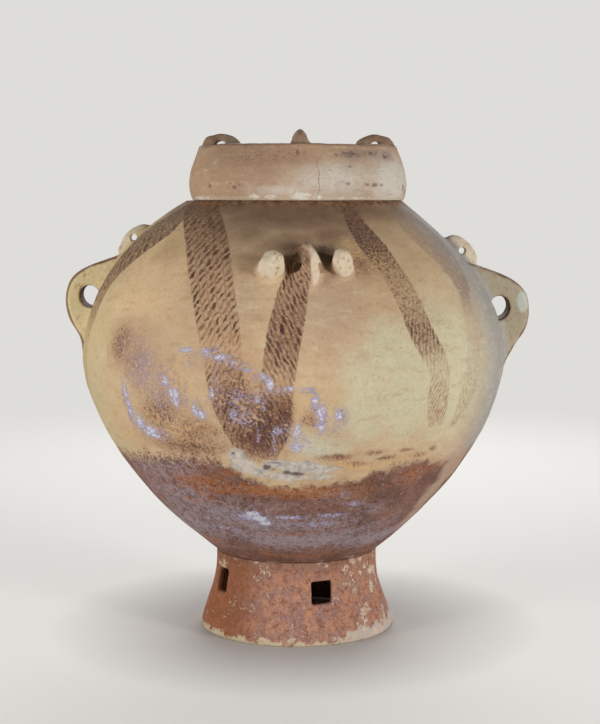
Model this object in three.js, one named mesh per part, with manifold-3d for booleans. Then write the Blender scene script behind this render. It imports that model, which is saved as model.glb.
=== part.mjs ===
// A lidded burial jar of hand-built pottery: a round body on a flaring pedestal foot with four cut windows,
// an upright neck, two pierced handles, four small cord lugs, a pair of knobs, and a lid like an upturned bowl
// with four cord loops. Each piece of clay that the potter shaped by itself and luted on is a mesh of its own.
//
// Millimetres, +Z up. The origin is on the jar's axis, on the plane that the foot stands on. The front faces -Y.
// An azimuth is in degrees round the axis, 0 at the front and 90 at +X, the right-hand side seen from the front.

import * as THREE from 'three';
import { mergeVertices } from 'three/addons/utils/BufferGeometryUtils.js';
import Module from 'manifold-3d';

// Body
const WALL = 9;
const WAIST_RADIUS = 96; // where the bowl meets the foot
const FOOT_HEIGHT = 94; // floor to waist
const BELLY_RADIUS = 248;
const BOWL_HEIGHT = 228; // waist to belly
const SHOULDER_HEIGHT = 184; // belly to the ledge that carries the lid
const BOWL_SAG = 14; // how far the bowl's round bottom hangs into the foot
const FLOOR_THICKNESS = 12; // of the bowl's bottom
const SEAM_BEVEL = 5; // how far a bevelled seam climbs from the outside of a wall to its inside
const SEAM_GAP = 0.3; // slip between two luted pieces

// Tangents of the body's two curves
const BOWL_SPREAD = 147; // outward run of the bowl's wall as it leaves the waist
const BOWL_CLIMB = 117; // height that the wall gains over that run
const BELLY_STRAIGHT_BELOW = 13;
const BELLY_STRAIGHT_ABOVE = 38;
const SHOULDER_SPREAD = 105; // outward run of the shoulder as it leaves the ledge
const SHOULDER_DROP = 73; // height that the shoulder loses over that run

// Pedestal foot
const FOOT_RADIUS = 115.5; // widest, just above the floor
const FOOT_WALL = 9;
const FOOT_LIP = 5; // height at which the flare begins
const FOOT_OUTER_ROUND = 3; // rounding of the standing edge
const FOOT_INNER_ROUND = 1.5;
const FOOT_FLARE = 14; // how far the wall draws in at the start of the flare
const FOOT_FLARE_CLIMB = 41; // height that it gains over that run
const FOOT_UPRIGHT = 39; // near-straight stretch below the waist
const WINDOW_WIDTH = 23;
const WINDOW_HEIGHT = 26;
const WINDOW_CORNER = 3;
const WINDOW_SILL = 46; // above the floor
const WINDOW_AZIMUTHS = [17, 107, 197, 297];

// Neck
const MOUTH_RADIUS = 100;
const NECK_WALL = 9;
const NECK_HEIGHT = 36;
const RIM_LEAN = 1.5; // how far the rim leans out
const RIM_LEAN_HEIGHT = 12; // depth below the rim at which it starts to lean

// Handles: each an ear in a plane through the axis, with a round hole next to the wall
const HANDLE_PROUD = 27; // how far the nose stands out beyond the belly
const HANDLE_HOLE_RADIUS = 13.5;
const HANDLE_BAND = 20.5; // clay between the hole and the nose
const HANDLE_THICKNESS = 36; // at the nose
const HANDLE_ROOT_THICKNESS = 46; // at the wall
const HANDLE_EDGE = 4; // rounding of the edges
const HANDLE_RISE = 49.5; // upper root above the hole's centre
const HANDLE_TOP_LENGTH = 30; // from the hole's centre in to where the ear's top starts to fall
const HANDLE_BROW_RUN = 36; // outward run of the top as it starts to fall
const HANDLE_BROW_DROP = 11.5; // height that it loses over that run
const HANDLE_NOSE_DROP = 4; // nose below the hole's centre
const HANDLE_BROW_CLIMB = 34; // steep stretch above the nose
const HANDLE_CHIN_CLIMB = 22; // steep stretch below the nose
const HANDLE_DROP = 68; // lower root below the hole's centre
const HANDLE_ROOT_INSET = 28.5; // how far the lower root lies inside the nose
const HANDLE_ROOT_RUN = 13.5; // outward run of the edge as it leaves the lower root
const HANDLE_ROOT_CLIMB = 26; // height that it gains over that run
const HANDLE_RISES = { left: 72, right: 59 }; // hole's centre above the belly

// Cord lugs on the shoulder
const LUG_LENGTHS = { front: 55, right: 50, back: 50, left: 48 };
const LUG_HEIGHTS = { front: 22, right: 16, back: 17, left: 14.5 };
const LUG_THICKNESSES = { front: 31, right: 27, back: 27, left: 26 };
const LUG_PINCH = 0.6; // how much thinner the crest is than the root, as a share
const LUG_HOLE_RADII = { front: 4.8, right: 4, back: 4, left: 4 };
const LUG_HOLE_RISE = 6.5; // hole's centre above the shoulder
const LUG_DROPS = { front: 69, right: 62, back: 61, left: 48 }; // middle of a lug below the ledge
const LUG_AZIMUTHS = { front: 5, right: 90, back: 180, left: 270 };

// Knobs that flank the front lug
const KNOB_ROOT_RADII = { left: 15.5, right: 13 };
const KNOB_NECK_RADII = { left: 14, right: 11.7 }; // halfway along
const KNOB_TIP_RADII = { left: 10.5, right: 9 };
const KNOB_TIP_ROUND = 4.5; // depth of the domed tip
const KNOB_LENGTH = 23;
const KNOB_BURIED = 8; // length modelled inside the wall and cut away
const KNOB_DROP = 72; // below the ledge
const KNOB_SPREADS = { left: -10.5, right: 10 }; // azimuth from the front lug

// Lid
const LID_CLEARANCE = 5.5; // play between the neck's rim and the lid's wall
const LID_WALL = 9;
const LID_EDGE_ROUND = 2.5; // rounding of the lower edge
const LEDGE_MARGIN = 2; // how far the ledge reaches beyond the lid
const LID_BULGE = 5.7; // outward lean of the wall as it leaves the lower edge
const LID_BULGE_CLIMB = 14; // height that it gains over that lean
const LID_TAPER = 13; // how much smaller the flat top is than the lower edge
const LID_SHOULDER_CLIMB = 28; // steep stretch of the wall below the top's rounding
const LID_TOP_ROUND = 3.5; // rounding between the wall and the top
const LID_HEADROOM = 17; // air between the neck's rim and the lid's top
const LID_TOP_THICKNESS = 10;
const LID_LUG_LENGTH = 48;
const LID_LUG_HEIGHT = 17;
const LID_LUG_THICKNESS = 23;
const LID_HOLE_RADIUS = 6;
const LID_HOLE_RISE = 3.5; // hole's centre above the lid
const LID_LUG_AZIMUTHS = { front: 1, right: 90, back: 180, left: 270 };

// Places that follow from the sizes above
const BELLY_HEIGHT = FOOT_HEIGHT + BOWL_HEIGHT;
const LEDGE_HEIGHT = BELLY_HEIGHT + SHOULDER_HEIGHT;
const NECK_RADIUS = MOUTH_RADIUS + NECK_WALL;
const LID_RADIUS = NECK_RADIUS + RIM_LEAN + LID_CLEARANCE + LID_WALL; // at the lower edge
const LEDGE_RADIUS = LID_RADIUS + LEDGE_MARGIN;
const LID_TOP_RADIUS = LID_RADIUS - LID_TAPER;
const LID_BASE = LEDGE_HEIGHT + SEAM_GAP;
const LID_SEAM = LEDGE_HEIGHT + NECK_HEIGHT + LID_HEADROOM;
const LID_TOP = LID_SEAM + LID_TOP_THICKNESS;

// Smoothness
const ROUND_STEPS = 52; // a multiple of four, so that facets match at every quarter turn
const BOWL_STEPS = 9;
const SHOULDER_STEPS = 8;
const FOOT_STEPS = 6;
const LID_STEPS = 6;
const ROUND_CORNER_STEPS = 2;

const wasm = await Module();
wasm.setup();

const radians = THREE.MathUtils.degToRad;
const point = (radius, height) => new THREE.Vector2(radius, height);

// Materials

const clay = (color, roughness) => new THREE.MeshStandardMaterial({ color, roughness, metalness: 0 });
const PALE_SLIP = clay(0xc9ad7e, 0.82);
const TAN_SLIP = clay(0xb48f66, 0.84);
const RED_SLIP = clay(0x96583a, 0.86);
const LID_CLAY = clay(0xc2a583, 0.85);

// Cutting one closed shape with others

function solidFrom(geometry) {
  const bare = geometry.clone();
  bare.deleteAttribute('normal');
  bare.deleteAttribute('uv');
  const merged = mergeVertices(bare, 1e-4);
  const vertProperties = merged.attributes.position.array;
  const triVerts = new Uint32Array(merged.index.array);
  return new wasm.Manifold(new wasm.Mesh({ numProp: 3, vertProperties, triVerts }));
}

function cut(geometry, ...cutters) {
  const solid = cutters.reduce((rest, cutter) => rest.subtract(solidFrom(cutter)), solidFrom(geometry));
  const { vertProperties, triVerts } = solid.getMesh();
  const result = new THREE.BufferGeometry();
  result.setAttribute('position', new THREE.BufferAttribute(new Float32Array(vertProperties), 3));
  result.setIndex(new THREE.BufferAttribute(new Uint32Array(triVerts), 1));
  result.computeVertexNormals();
  return result;
}

// Profiles, in radius and height

// Turns a profile round the axis. It starts and ends on the axis, or else it closes on itself into a ring.
function revolve(profile, steps = ROUND_STEPS) {
  const closed = profile[0].x > 0 ? [...profile, profile[0].clone()] : profile;
  return new THREE.LatheGeometry(closed, steps).rotateX(Math.PI / 2);
}

function arc(centre, radius, from, to) {
  return Array.from({ length: ROUND_CORNER_STEPS + 1 }, (_, i) => {
    const angle = radians(THREE.MathUtils.lerp(from, to, i / ROUND_CORNER_STEPS));
    return point(centre.x + radius * Math.cos(angle), centre.y + radius * Math.sin(angle));
  });
}

// A place on a wall's outer curve: the point, and the direction straight out of the wall.
function placeOn(curve, t) {
  const tangent = curve.getTangent(t);
  return { at: curve.getPoint(t), out: point(tangent.y, -tangent.x) };
}

const placesOn = (curve, steps) => Array.from({ length: steps + 1 }, (_, i) => placeOn(curve, i / steps));
const shifted = ({ at, out }, distance) => out.clone().multiplyScalar(distance).add(at);

// The outer curves climb all the way, so a height is found by halving.
function placeAtHeight(curve, height) {
  let low = 0;
  let high = 1;
  while (high - low > 1e-6) {
    const middle = (low + high) / 2;
    if (curve.getPoint(middle).y < height) low = middle;
    else high = middle;
  }
  return placeOn(curve, low);
}

const footCurve = new THREE.CubicBezierCurve(
  point(FOOT_RADIUS, FOOT_LIP),
  point(FOOT_RADIUS - FOOT_FLARE, FOOT_LIP + FOOT_FLARE_CLIMB),
  point(WAIST_RADIUS, FOOT_HEIGHT - FOOT_UPRIGHT),
  point(WAIST_RADIUS, FOOT_HEIGHT),
);
const bowlCurve = new THREE.CubicBezierCurve(
  point(WAIST_RADIUS, FOOT_HEIGHT),
  point(WAIST_RADIUS + BOWL_SPREAD, FOOT_HEIGHT + BOWL_CLIMB),
  point(BELLY_RADIUS, BELLY_HEIGHT - BELLY_STRAIGHT_BELOW),
  point(BELLY_RADIUS, BELLY_HEIGHT),
);
const shoulderCurve = new THREE.CubicBezierCurve(
  point(BELLY_RADIUS, BELLY_HEIGHT),
  point(BELLY_RADIUS, BELLY_HEIGHT + BELLY_STRAIGHT_ABOVE),
  point(LEDGE_RADIUS + SHOULDER_SPREAD, LEDGE_HEIGHT - SHOULDER_DROP),
  point(LEDGE_RADIUS, LEDGE_HEIGHT),
);
const lidCurve = new THREE.CubicBezierCurve(
  point(LID_RADIUS, LID_BASE + LID_EDGE_ROUND),
  point(LID_RADIUS + LID_BULGE, LID_BASE + LID_BULGE_CLIMB),
  point(LID_RADIUS + LID_BULGE / 2, LID_TOP - LID_TOP_ROUND - LID_SHOULDER_CLIMB),
  point(LID_TOP_RADIUS + LID_TOP_ROUND, LID_TOP - LID_TOP_ROUND),
);

const bowl = placesOn(bowlCurve, BOWL_STEPS);
const shoulder = placesOn(shoulderCurve, SHOULDER_STEPS);

// Height of the bowl's round underside, which sits on the foot like an egg in a cup.
const underside = (radius) => FOOT_HEIGHT - BOWL_SAG * (1 - (radius / WAIST_RADIUS) ** 2);

// Body pieces

function pedestalFoot() {
  const wall = placesOn(footCurve, FOOT_STEPS).slice(0, -1);
  const innerRadius = FOOT_RADIUS - FOOT_WALL;
  const top = [WAIST_RADIUS, WAIST_RADIUS - FOOT_WALL];
  const ring = revolve([
    ...arc(point(FOOT_RADIUS - FOOT_OUTER_ROUND, FOOT_OUTER_ROUND), FOOT_OUTER_ROUND, -90, 0),
    ...wall.map(({ at }) => at),
    ...top.map((radius) => point(radius, underside(radius) - SEAM_GAP)),
    ...wall.toReversed().map(({ at }) => point(at.x - FOOT_WALL, at.y)),
    ...arc(point(innerRadius + FOOT_INNER_ROUND, FOOT_INNER_ROUND), FOOT_INNER_ROUND, 180, 270),
  ]);
  return cut(ring, ...WINDOW_AZIMUTHS.map(windowCutter));
}

function windowCutter(azimuth) {
  const x = WINDOW_WIDTH / 2 - WINDOW_CORNER;
  const y = WINDOW_HEIGHT / 2 - WINDOW_CORNER;
  const corners = [[x, -y], [x, y], [-x, y], [-x, -y]];
  const outline = new THREE.Shape();
  corners.forEach(([cx, cy], i) => {
    const start = (i - 1) * Math.PI / 2;
    outline.absarc(cx, cy, WINDOW_CORNER, start, start + Math.PI / 2);
  });
  const options = { depth: FOOT_RADIUS, bevelEnabled: false, curveSegments: ROUND_CORNER_STEPS };
  const block = new THREE.ExtrudeGeometry(outline, options).translate(0, 0, WAIST_RADIUS / 2);
  return block.rotateX(Math.PI / 2).translate(0, 0, WINDOW_SILL + WINDOW_HEIGHT / 2).rotateZ(radians(azimuth));
}

function lowerBody() {
  const floorRadii = [0, WAIST_RADIUS / 3, (WAIST_RADIUS * 2) / 3];
  const inner = bowl.map((place) => shifted(place, -WALL)).filter((p) => p.x > WAIST_RADIUS);
  return revolve([
    ...floorRadii.map((radius) => point(radius, underside(radius))),
    ...bowl.map(({ at }) => at),
    point(BELLY_RADIUS - WALL, BELLY_HEIGHT + SEAM_BEVEL),
    ...inner.toReversed(),
    ...floorRadii.toReversed().map((radius) => point(radius, underside(radius) + FLOOR_THICKNESS)),
  ]);
}

function upperBody() {
  const inner = shoulder
    .map((place) => shifted(place, -WALL))
    .filter((p) => p.x > NECK_RADIUS && p.y > BELLY_HEIGHT + 2 * SEAM_BEVEL);
  return revolve([
    point(BELLY_RADIUS, BELLY_HEIGHT + SEAM_GAP),
    ...shoulder.slice(1).map(({ at }) => at),
    point(NECK_RADIUS, LEDGE_HEIGHT),
    point(MOUTH_RADIUS, LEDGE_HEIGHT + SEAM_BEVEL),
    point(MOUTH_RADIUS, LEDGE_HEIGHT - WALL),
    ...inner.toReversed(),
    point(BELLY_RADIUS - WALL, BELLY_HEIGHT + SEAM_BEVEL + SEAM_GAP),
  ]);
}

function neck() {
  const foot = LEDGE_HEIGHT + SEAM_GAP;
  const rim = LEDGE_HEIGHT + NECK_HEIGHT;
  const round = NECK_WALL / 2;
  return revolve([
    point(NECK_RADIUS, foot),
    point(NECK_RADIUS, rim - RIM_LEAN_HEIGHT),
    ...arc(point(MOUTH_RADIUS + RIM_LEAN + round, rim - round), round, 0, 180),
    point(MOUTH_RADIUS, rim - RIM_LEAN_HEIGHT),
    point(MOUTH_RADIUS, foot + SEAM_BEVEL),
  ]);
}

// What is luted on to the wall is shaped for the side at azimuth 90, and cut to fit the jar's own outside,
// grown by the slip. The jar is turned so that its facets meet the piece as they will once it is in place.
function seatOnWall(geometry, azimuth, ...cutters) {
  const grown = [...bowl.slice(0, -1), ...shoulder].map((place) => shifted(place, SEAM_GAP));
  const envelope = revolve([point(0, FOOT_HEIGHT), ...grown, point(0, LEDGE_HEIGHT)]);
  return cut(geometry, envelope.rotateZ(-fromSide(azimuth)), ...cutters);
}

const fromSide = (azimuth) => radians(azimuth - LUG_AZIMUTHS.right);

const crossBore = (radius, length, steps) => new THREE.CylinderGeometry(radius, radius, length, steps);

function handle(side) {
  const nose = point(HANDLE_HOLE_RADIUS + HANDLE_BAND - HANDLE_EDGE, -HANDLE_NOSE_DROP);
  const root = point(nose.x - HANDLE_ROOT_INSET, HANDLE_EDGE - HANDLE_DROP);
  const top = HANDLE_RISE - HANDLE_EDGE;
  const inside = -(HANDLE_HOLE_RADIUS + HANDLE_TOP_LENGTH);
  const outline = new THREE.Shape();
  outline.moveTo(inside, top);
  outline.lineTo(-HANDLE_TOP_LENGTH, top);
  outline.bezierCurveTo(
    HANDLE_BROW_RUN - HANDLE_TOP_LENGTH, top - HANDLE_BROW_DROP,
    nose.x, nose.y + HANDLE_BROW_CLIMB,
    nose.x, nose.y,
  );
  outline.bezierCurveTo(
    nose.x, nose.y - HANDLE_CHIN_CLIMB,
    root.x + HANDLE_ROOT_RUN, root.y + HANDLE_ROOT_CLIMB,
    root.x, root.y,
  );
  outline.lineTo(inside, root.y);
  const slab = new THREE.ExtrudeGeometry(outline, {
    depth: HANDLE_THICKNESS - 2 * HANDLE_EDGE,
    bevelThickness: HANDLE_EDGE,
    bevelSize: HANDLE_EDGE,
    bevelSegments: 3,
    curveSegments: 9,
  });
  slab.translate(0, 0, HANDLE_EDGE - HANDLE_THICKNESS / 2).rotateX(Math.PI / 2);
  thickenTowards(slab, inside, nose.x + HANDLE_EDGE);
  const holeDistance = BELLY_RADIUS + HANDLE_PROUD - HANDLE_HOLE_RADIUS - HANDLE_BAND;
  const place = [holeDistance, 0, BELLY_HEIGHT + HANDLE_RISES[side]];
  const bore = crossBore(HANDLE_HOLE_RADIUS, 2 * HANDLE_ROOT_THICKNESS, 20);
  return seatOnWall(slab.translate(...place), LUG_AZIMUTHS[side], bore.translate(...place));
}

// Spreads a slab across Y, not at all at its nose and up to the root's thickness at its inner end.
function thickenTowards(slab, inside, nose) {
  const position = slab.getAttribute('position');
  for (let i = 0; i < position.count; i += 1) {
    const share = (nose - position.getX(i)) / (nose - inside);
    const thickness = THREE.MathUtils.lerp(HANDLE_THICKNESS, HANDLE_ROOT_THICKNESS, share);
    position.setY(i, position.getY(i) * (thickness / HANDLE_THICKNESS));
  }
}

// A ball of clay drawn out along X, stood up along Z and pinched thinner towards its crest.
function pinchedLump(length, height, thickness) {
  const lump = new THREE.SphereGeometry(1, 16, 12).rotateX(Math.PI / 2);
  const position = lump.getAttribute('position');
  for (let i = 0; i < position.count; i += 1) {
    const up = position.getZ(i);
    const pinch = 1 - LUG_PINCH * Math.max(up, 0);
    const across = (position.getY(i) * pinch * thickness) / 2;
    position.setXYZ(i, (position.getX(i) * length) / 2, across, up * height);
  }
  return lump;
}

// Stands shapes that point up along Z on the shoulder, straight out of the wall, a distance below the ledge.
function onShoulder(drop, ...shapes) {
  const { at, out } = placeAtHeight(shoulderCurve, LEDGE_HEIGHT - drop);
  return shapes.map((shape) => shape.rotateY(Math.atan2(out.x, out.y)).translate(at.x, 0, at.y));
}

function cordLug(side) {
  const lump = pinchedLump(LUG_LENGTHS[side], LUG_HEIGHTS[side], LUG_THICKNESSES[side]);
  const bore = crossBore(LUG_HOLE_RADII[side], 2 * LUG_THICKNESSES[side], 12).translate(0, 0, LUG_HOLE_RISE);
  const [shape, hole] = onShoulder(LUG_DROPS[side], lump, bore);
  const handleBelow = side in HANDLE_RISES ? [spaceUpToHandleTop(side)] : [];
  return seatOnWall(shape, LUG_AZIMUTHS[side], hole, ...handleBelow);
}

// A side lug ends at the height of the upper root of the handle below it.
function spaceUpToHandleTop(side) {
  const width = 2 * (BELLY_RADIUS + HANDLE_PROUD);
  const top = BELLY_HEIGHT + HANDLE_RISES[side] + HANDLE_RISE + SEAM_GAP;
  return new THREE.BoxGeometry(width, width, BOWL_HEIGHT).translate(0, 0, top - BOWL_HEIGHT / 2);
}

function knob(side) {
  const root = KNOB_ROOT_RADII[side];
  const tip = point(KNOB_TIP_RADII[side], KNOB_LENGTH - KNOB_TIP_ROUND);
  const flare = new THREE.QuadraticBezierCurve(point(root, 0), point(KNOB_NECK_RADII[side], tip.y / 2), tip);
  const dome = new THREE.EllipseCurve(0, tip.y, tip.x, KNOB_TIP_ROUND, 0, Math.PI / 2);
  const turned = revolve([
    point(0, -KNOB_BURIED),
    point(root, -KNOB_BURIED),
    ...flare.getPoints(4),
    ...dome.getPoints(3).slice(1, -1),
    point(0, KNOB_LENGTH),
  ], 16);
  return seatOnWall(onShoulder(KNOB_DROP, turned)[0], LUG_AZIMUTHS.front + KNOB_SPREADS[side]);
}

// Lid pieces

function lidWall() {
  const seam = placeAtHeight(lidCurve, LID_SEAM);
  const wall = [...placesOn(lidCurve, LID_STEPS).filter(({ at }) => at.y < LID_SEAM - 1), seam];
  const edge = LID_BASE + LID_EDGE_ROUND;
  return revolve([
    ...arc(point(LID_RADIUS - LID_EDGE_ROUND, edge), LID_EDGE_ROUND, -90, 0),
    ...wall.slice(1).map(({ at }) => at),
    ...wall.slice(1).toReversed().map(({ at }) => point(at.x - LID_WALL, at.y)),
    ...arc(point(LID_RADIUS - LID_WALL + LID_EDGE_ROUND, edge), LID_EDGE_ROUND, 180, 270),
  ]);
}

function lidTop() {
  const under = LID_SEAM + SEAM_GAP;
  return revolve([
    point(0, under),
    point(placeAtHeight(lidCurve, under).at.x, under),
    ...arc(point(LID_TOP_RADIUS, LID_TOP - LID_TOP_ROUND), LID_TOP_ROUND, 0, 90),
    point(0, LID_TOP),
  ]);
}

function lidLug() {
  const lump = pinchedLump(LID_LUG_LENGTH, LID_LUG_HEIGHT, LID_LUG_THICKNESS);
  const bore = crossBore(LID_HOLE_RADIUS, 2 * LID_LUG_THICKNESS, 16).translate(0, 0, LID_HOLE_RISE);
  const lid = new THREE.BoxGeometry(2 * LID_LUG_LENGTH, 2 * LID_LUG_THICKNESS, 2 * LID_LUG_HEIGHT);
  return cut(lump, bore, lid.translate(0, 0, SEAM_GAP - LID_LUG_HEIGHT));
}

// Assembly

function addPiece(group, name, geometry, material) {
  const piece = new THREE.Mesh(geometry, material);
  piece.name = name;
  group.add(piece);
  return piece;
}

const jar = new THREE.Group();
addPiece(jar, 'pedestal_foot', pedestalFoot(), RED_SLIP);
addPiece(jar, 'lower_body', lowerBody(), RED_SLIP);
addPiece(jar, 'upper_body', upperBody(), PALE_SLIP);
addPiece(jar, 'neck_collar', neck(), TAN_SLIP);
for (const side of Object.keys(HANDLE_RISES)) {
  const piece = addPiece(jar, `${side}_handle`, handle(side), PALE_SLIP);
  piece.rotation.z = fromSide(LUG_AZIMUTHS[side]);
}
for (const side of Object.keys(LUG_DROPS)) {
  const piece = addPiece(jar, `${side}_lug`, cordLug(side), TAN_SLIP);
  piece.rotation.z = fromSide(LUG_AZIMUTHS[side]);
}
for (const side of Object.keys(KNOB_SPREADS)) {
  const piece = addPiece(jar, `${side}_knob`, knob(side), PALE_SLIP);
  piece.rotation.z = fromSide(LUG_AZIMUTHS.front + KNOB_SPREADS[side]);
}

const lid = new THREE.Group();
addPiece(lid, 'lid_wall', lidWall(), LID_CLAY);
addPiece(lid, 'lid_top', lidTop(), LID_CLAY);
for (const [side, azimuth] of Object.entries(LID_LUG_AZIMUTHS)) {
  const arm = new THREE.Group();
  arm.rotation.z = fromSide(azimuth);
  const piece = addPiece(arm, `lid_lug_${side}`, lidLug(), LID_CLAY);
  piece.position.set(LID_TOP_RADIUS - LID_LUG_LENGTH / 2, 0, LID_TOP);
  lid.add(arm);
}

const burialJar = new THREE.Group();
burialJar.add(jar, lid);

export default burialJar;
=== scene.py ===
"""Looks of the burial jar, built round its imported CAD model.

Shapes are worked out in millimetres in the CAD's frame, +Z up and the front towards -Y, and become metres
when a mesh is made. An azimuth is in degrees round the axis, 0 at the front and 90 at +X.
"""

import math

import bpy
import numpy as np
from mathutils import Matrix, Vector


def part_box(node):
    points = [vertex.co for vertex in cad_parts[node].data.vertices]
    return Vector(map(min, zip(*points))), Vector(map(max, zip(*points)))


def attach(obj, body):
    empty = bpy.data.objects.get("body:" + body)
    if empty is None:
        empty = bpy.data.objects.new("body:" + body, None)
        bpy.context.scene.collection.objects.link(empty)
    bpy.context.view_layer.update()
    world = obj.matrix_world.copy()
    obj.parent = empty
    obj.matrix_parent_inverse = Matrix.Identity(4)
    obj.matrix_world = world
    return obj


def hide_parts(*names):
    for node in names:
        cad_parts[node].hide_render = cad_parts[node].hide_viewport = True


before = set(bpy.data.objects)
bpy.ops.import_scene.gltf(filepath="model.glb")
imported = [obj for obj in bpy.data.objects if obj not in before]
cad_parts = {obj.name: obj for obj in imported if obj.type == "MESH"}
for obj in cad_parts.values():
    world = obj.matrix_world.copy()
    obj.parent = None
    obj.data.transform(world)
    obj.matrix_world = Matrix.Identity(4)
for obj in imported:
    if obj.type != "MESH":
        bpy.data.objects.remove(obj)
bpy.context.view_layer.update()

MM = 0.001
COARSE = 1.0


def cad_box(node):
    low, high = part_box(node)
    return np.array(low) / MM, np.array(high) / MM


# Sizes that the CAD gives

FOOT_RADIUS = cad_box("pedestal_foot")[1][0]
BELLY_RADIUS = cad_box("lower_body")[1][0]
LID_BASE = cad_box("lid_wall")[0][2]
LID_TOP = cad_box("lid_top")[1][2]
NECK_RIM = cad_box("neck_collar")[1][2]
LEDGE_HEIGHT = LID_BASE - 0.3

# Sizes repeated from the CAD's source

WALL = 9.0
WAIST_RADIUS = 96.0
WAIST_HEIGHT = 94.0
BELLY_HEIGHT = 322.0
BOWL_SAG = 14.0
FLOOR_THICKNESS = 12.0
LEDGE_RADIUS = 127.0
NECK_RADIUS = 109.0
MOUTH_RADIUS = 100.0
LID_RADIUS = 125.0
LID_TOP_RADIUS = 112.0
LID_ROUND = 3.5
HOLE_DISTANCES = {"left": 236.9, "right": 240.8}
HANDLE_HEIGHTS = {"left": 394.0, "right": 381.0}
WINDOWS = (  # azimuth, height, half width, half height
    (17.6, 58.0, 12.7, 13.0),
    (107.0, 59.0, 11.5, 13.0),
    (197.0, 59.0, 11.5, 13.0),
    (297.0, 61.5, 12.0, 13.5),
)
# Azimuth and height of each lug
LUGS = {"front": (5.0, 437.0), "right": (90.0, 443.0), "back": (180.0, 445.0), "left": (270.0, 458.0)}
LUG_HEIGHTS = {"front": 22.0, "right": 18.0, "back": 18.0, "left": 13.5}
LUG_BORES = {  # how far down the slope, how far out of the wall, radius
    "front": (4.0, 5.0, 4.5),
    "right": (-1.4, 5.0, 3.7),
    "back": (0.5, 7.0, 3.7),
    "left": (-3.0, 4.0, 3.7),
}
KNOBS = {"left": (-5.9, 15.0), "right": (15.5, 12.6)}  # azimuth, radius at the root
KNOB_RISES = {"left": 0.06, "right": 0.22}  # rise of a knob per millimetre that it stands out
KNOB_HEIGHT = 434.0
KNOB_LENGTH = 23.0
LID_LUG_AZIMUTHS = {"front": 1.0, "right": 90.0, "back": 180.0, "left": 270.0}
LID_LUG_PLACES = {"front": 88.0, "right": 90.5, "back": 89.0, "left": 90.0}
LID_LUG_RISES = {"front": 17.0, "right": 13.5, "back": 15.0, "left": 16.0}


# Profiles, in radius and height


def bezier(start, leaving, arriving, end, steps=60):
    t = np.linspace(0, 1, steps + 1)[:, None]
    points = [np.array(p, float) for p in (start, leaving, arriving, end)]
    weights = ((1 - t) ** 3, 3 * (1 - t) ** 2 * t, 3 * (1 - t) * t**2, t**3)
    return sum(weight * point for weight, point in zip(weights, points))


FOOT = bezier((FOOT_RADIUS, 5), (FOOT_RADIUS - 14, 46), (WAIST_RADIUS, 55), (WAIST_RADIUS, WAIST_HEIGHT))
BOWL = bezier(
    (WAIST_RADIUS, WAIST_HEIGHT),
    (WAIST_RADIUS + 147, WAIST_HEIGHT + 117),
    (BELLY_RADIUS, BELLY_HEIGHT - 13),
    (BELLY_RADIUS, BELLY_HEIGHT),
    180,
)
SHOULDER = bezier(
    (BELLY_RADIUS, BELLY_HEIGHT),
    (BELLY_RADIUS, BELLY_HEIGHT + 38),
    (LEDGE_RADIUS + 105, LEDGE_HEIGHT - 73),
    (LEDGE_RADIUS, LEDGE_HEIGHT),
    150,
)
LID = bezier(
    (LID_RADIUS + 0.5, LID_BASE + 2.5),
    (LID_RADIUS + 5.7, LID_BASE + 14),
    (LID_RADIUS + 4, LID_TOP - LID_ROUND - 28),
    (LID_TOP_RADIUS + LID_ROUND + 1, LID_TOP - LID_ROUND),
)
OUTSIDE = np.vstack([FOOT, BOWL[1:], SHOULDER[1:], LID])


def radius_at(height):
    return np.interp(height, OUTSIDE[:, 1], OUTSIDE[:, 0])


def lean_at(height):
    """How far the outside's radius grows per millimetre of height."""
    return (radius_at(height + 1) - radius_at(height - 1)) / 2


STEPS_ALONG = np.hypot(*np.diff(OUTSIDE, axis=0).T)
LENGTHS = np.concatenate([[0], np.cumsum(STEPS_ALONG)])


def length_down(height):
    """How far down the outside a place lies below the ledge, measured along the wall."""
    return np.interp(LEDGE_HEIGHT, OUTSIDE[:, 1], LENGTHS) - np.interp(height, OUTSIDE[:, 1], LENGTHS)


def arc(centre, radius, start, end, steps=6):
    angles = np.radians(np.linspace(start, end, steps + 1))
    return np.stack([centre[0] + radius * np.cos(angles), centre[1] + radius * np.sin(angles)], 1)


def inset(curve, distance):
    """The curve moved to the inside of its wall."""
    run = np.gradient(curve, axis=0)
    run /= np.linalg.norm(run, axis=1)[:, None]
    return curve + distance * np.stack([-run[:, 1], run[:, 0]], 1)


def underside(radius):
    """Height of the bowl's round bottom, which sits in the foot."""
    return WAIST_HEIGHT - BOWL_SAG * (1 - (radius / WAIST_RADIUS) ** 2)


# Unevenness of hand-built pottery, the same for every piece on it

LEAN_HEIGHTS = (0, 10, 60, 110, 160, 200, 300, 380, 400, 430, 480, 500, 506)
LEAN_SHIFTS = (1, 1, 0.5, 1.2, -1, -1.4, -3, -2.6, -3.8, -5, -5.6, -2.7, -1)
LID_SHIFT = 3.2
SWELLS = ((0.7, 120, 3), (0.35, 34, 4), (0.12, 12, 5))  # depth, size and seed of each ripple


def ripple(points, size, seed):
    """A smooth random field of about -1 to 1, with hills and hollows of about that many millimetres."""
    random = np.random.default_rng(seed)
    total = np.zeros(len(points))
    for _ in range(12):
        direction = random.normal(size=3)
        direction *= 2 * math.pi * random.uniform(0.6, 1.5) / (2 * size * np.linalg.norm(direction))
        total += np.sin(points @ direction + random.uniform(0, 2 * math.pi))
    return total / 3


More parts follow.
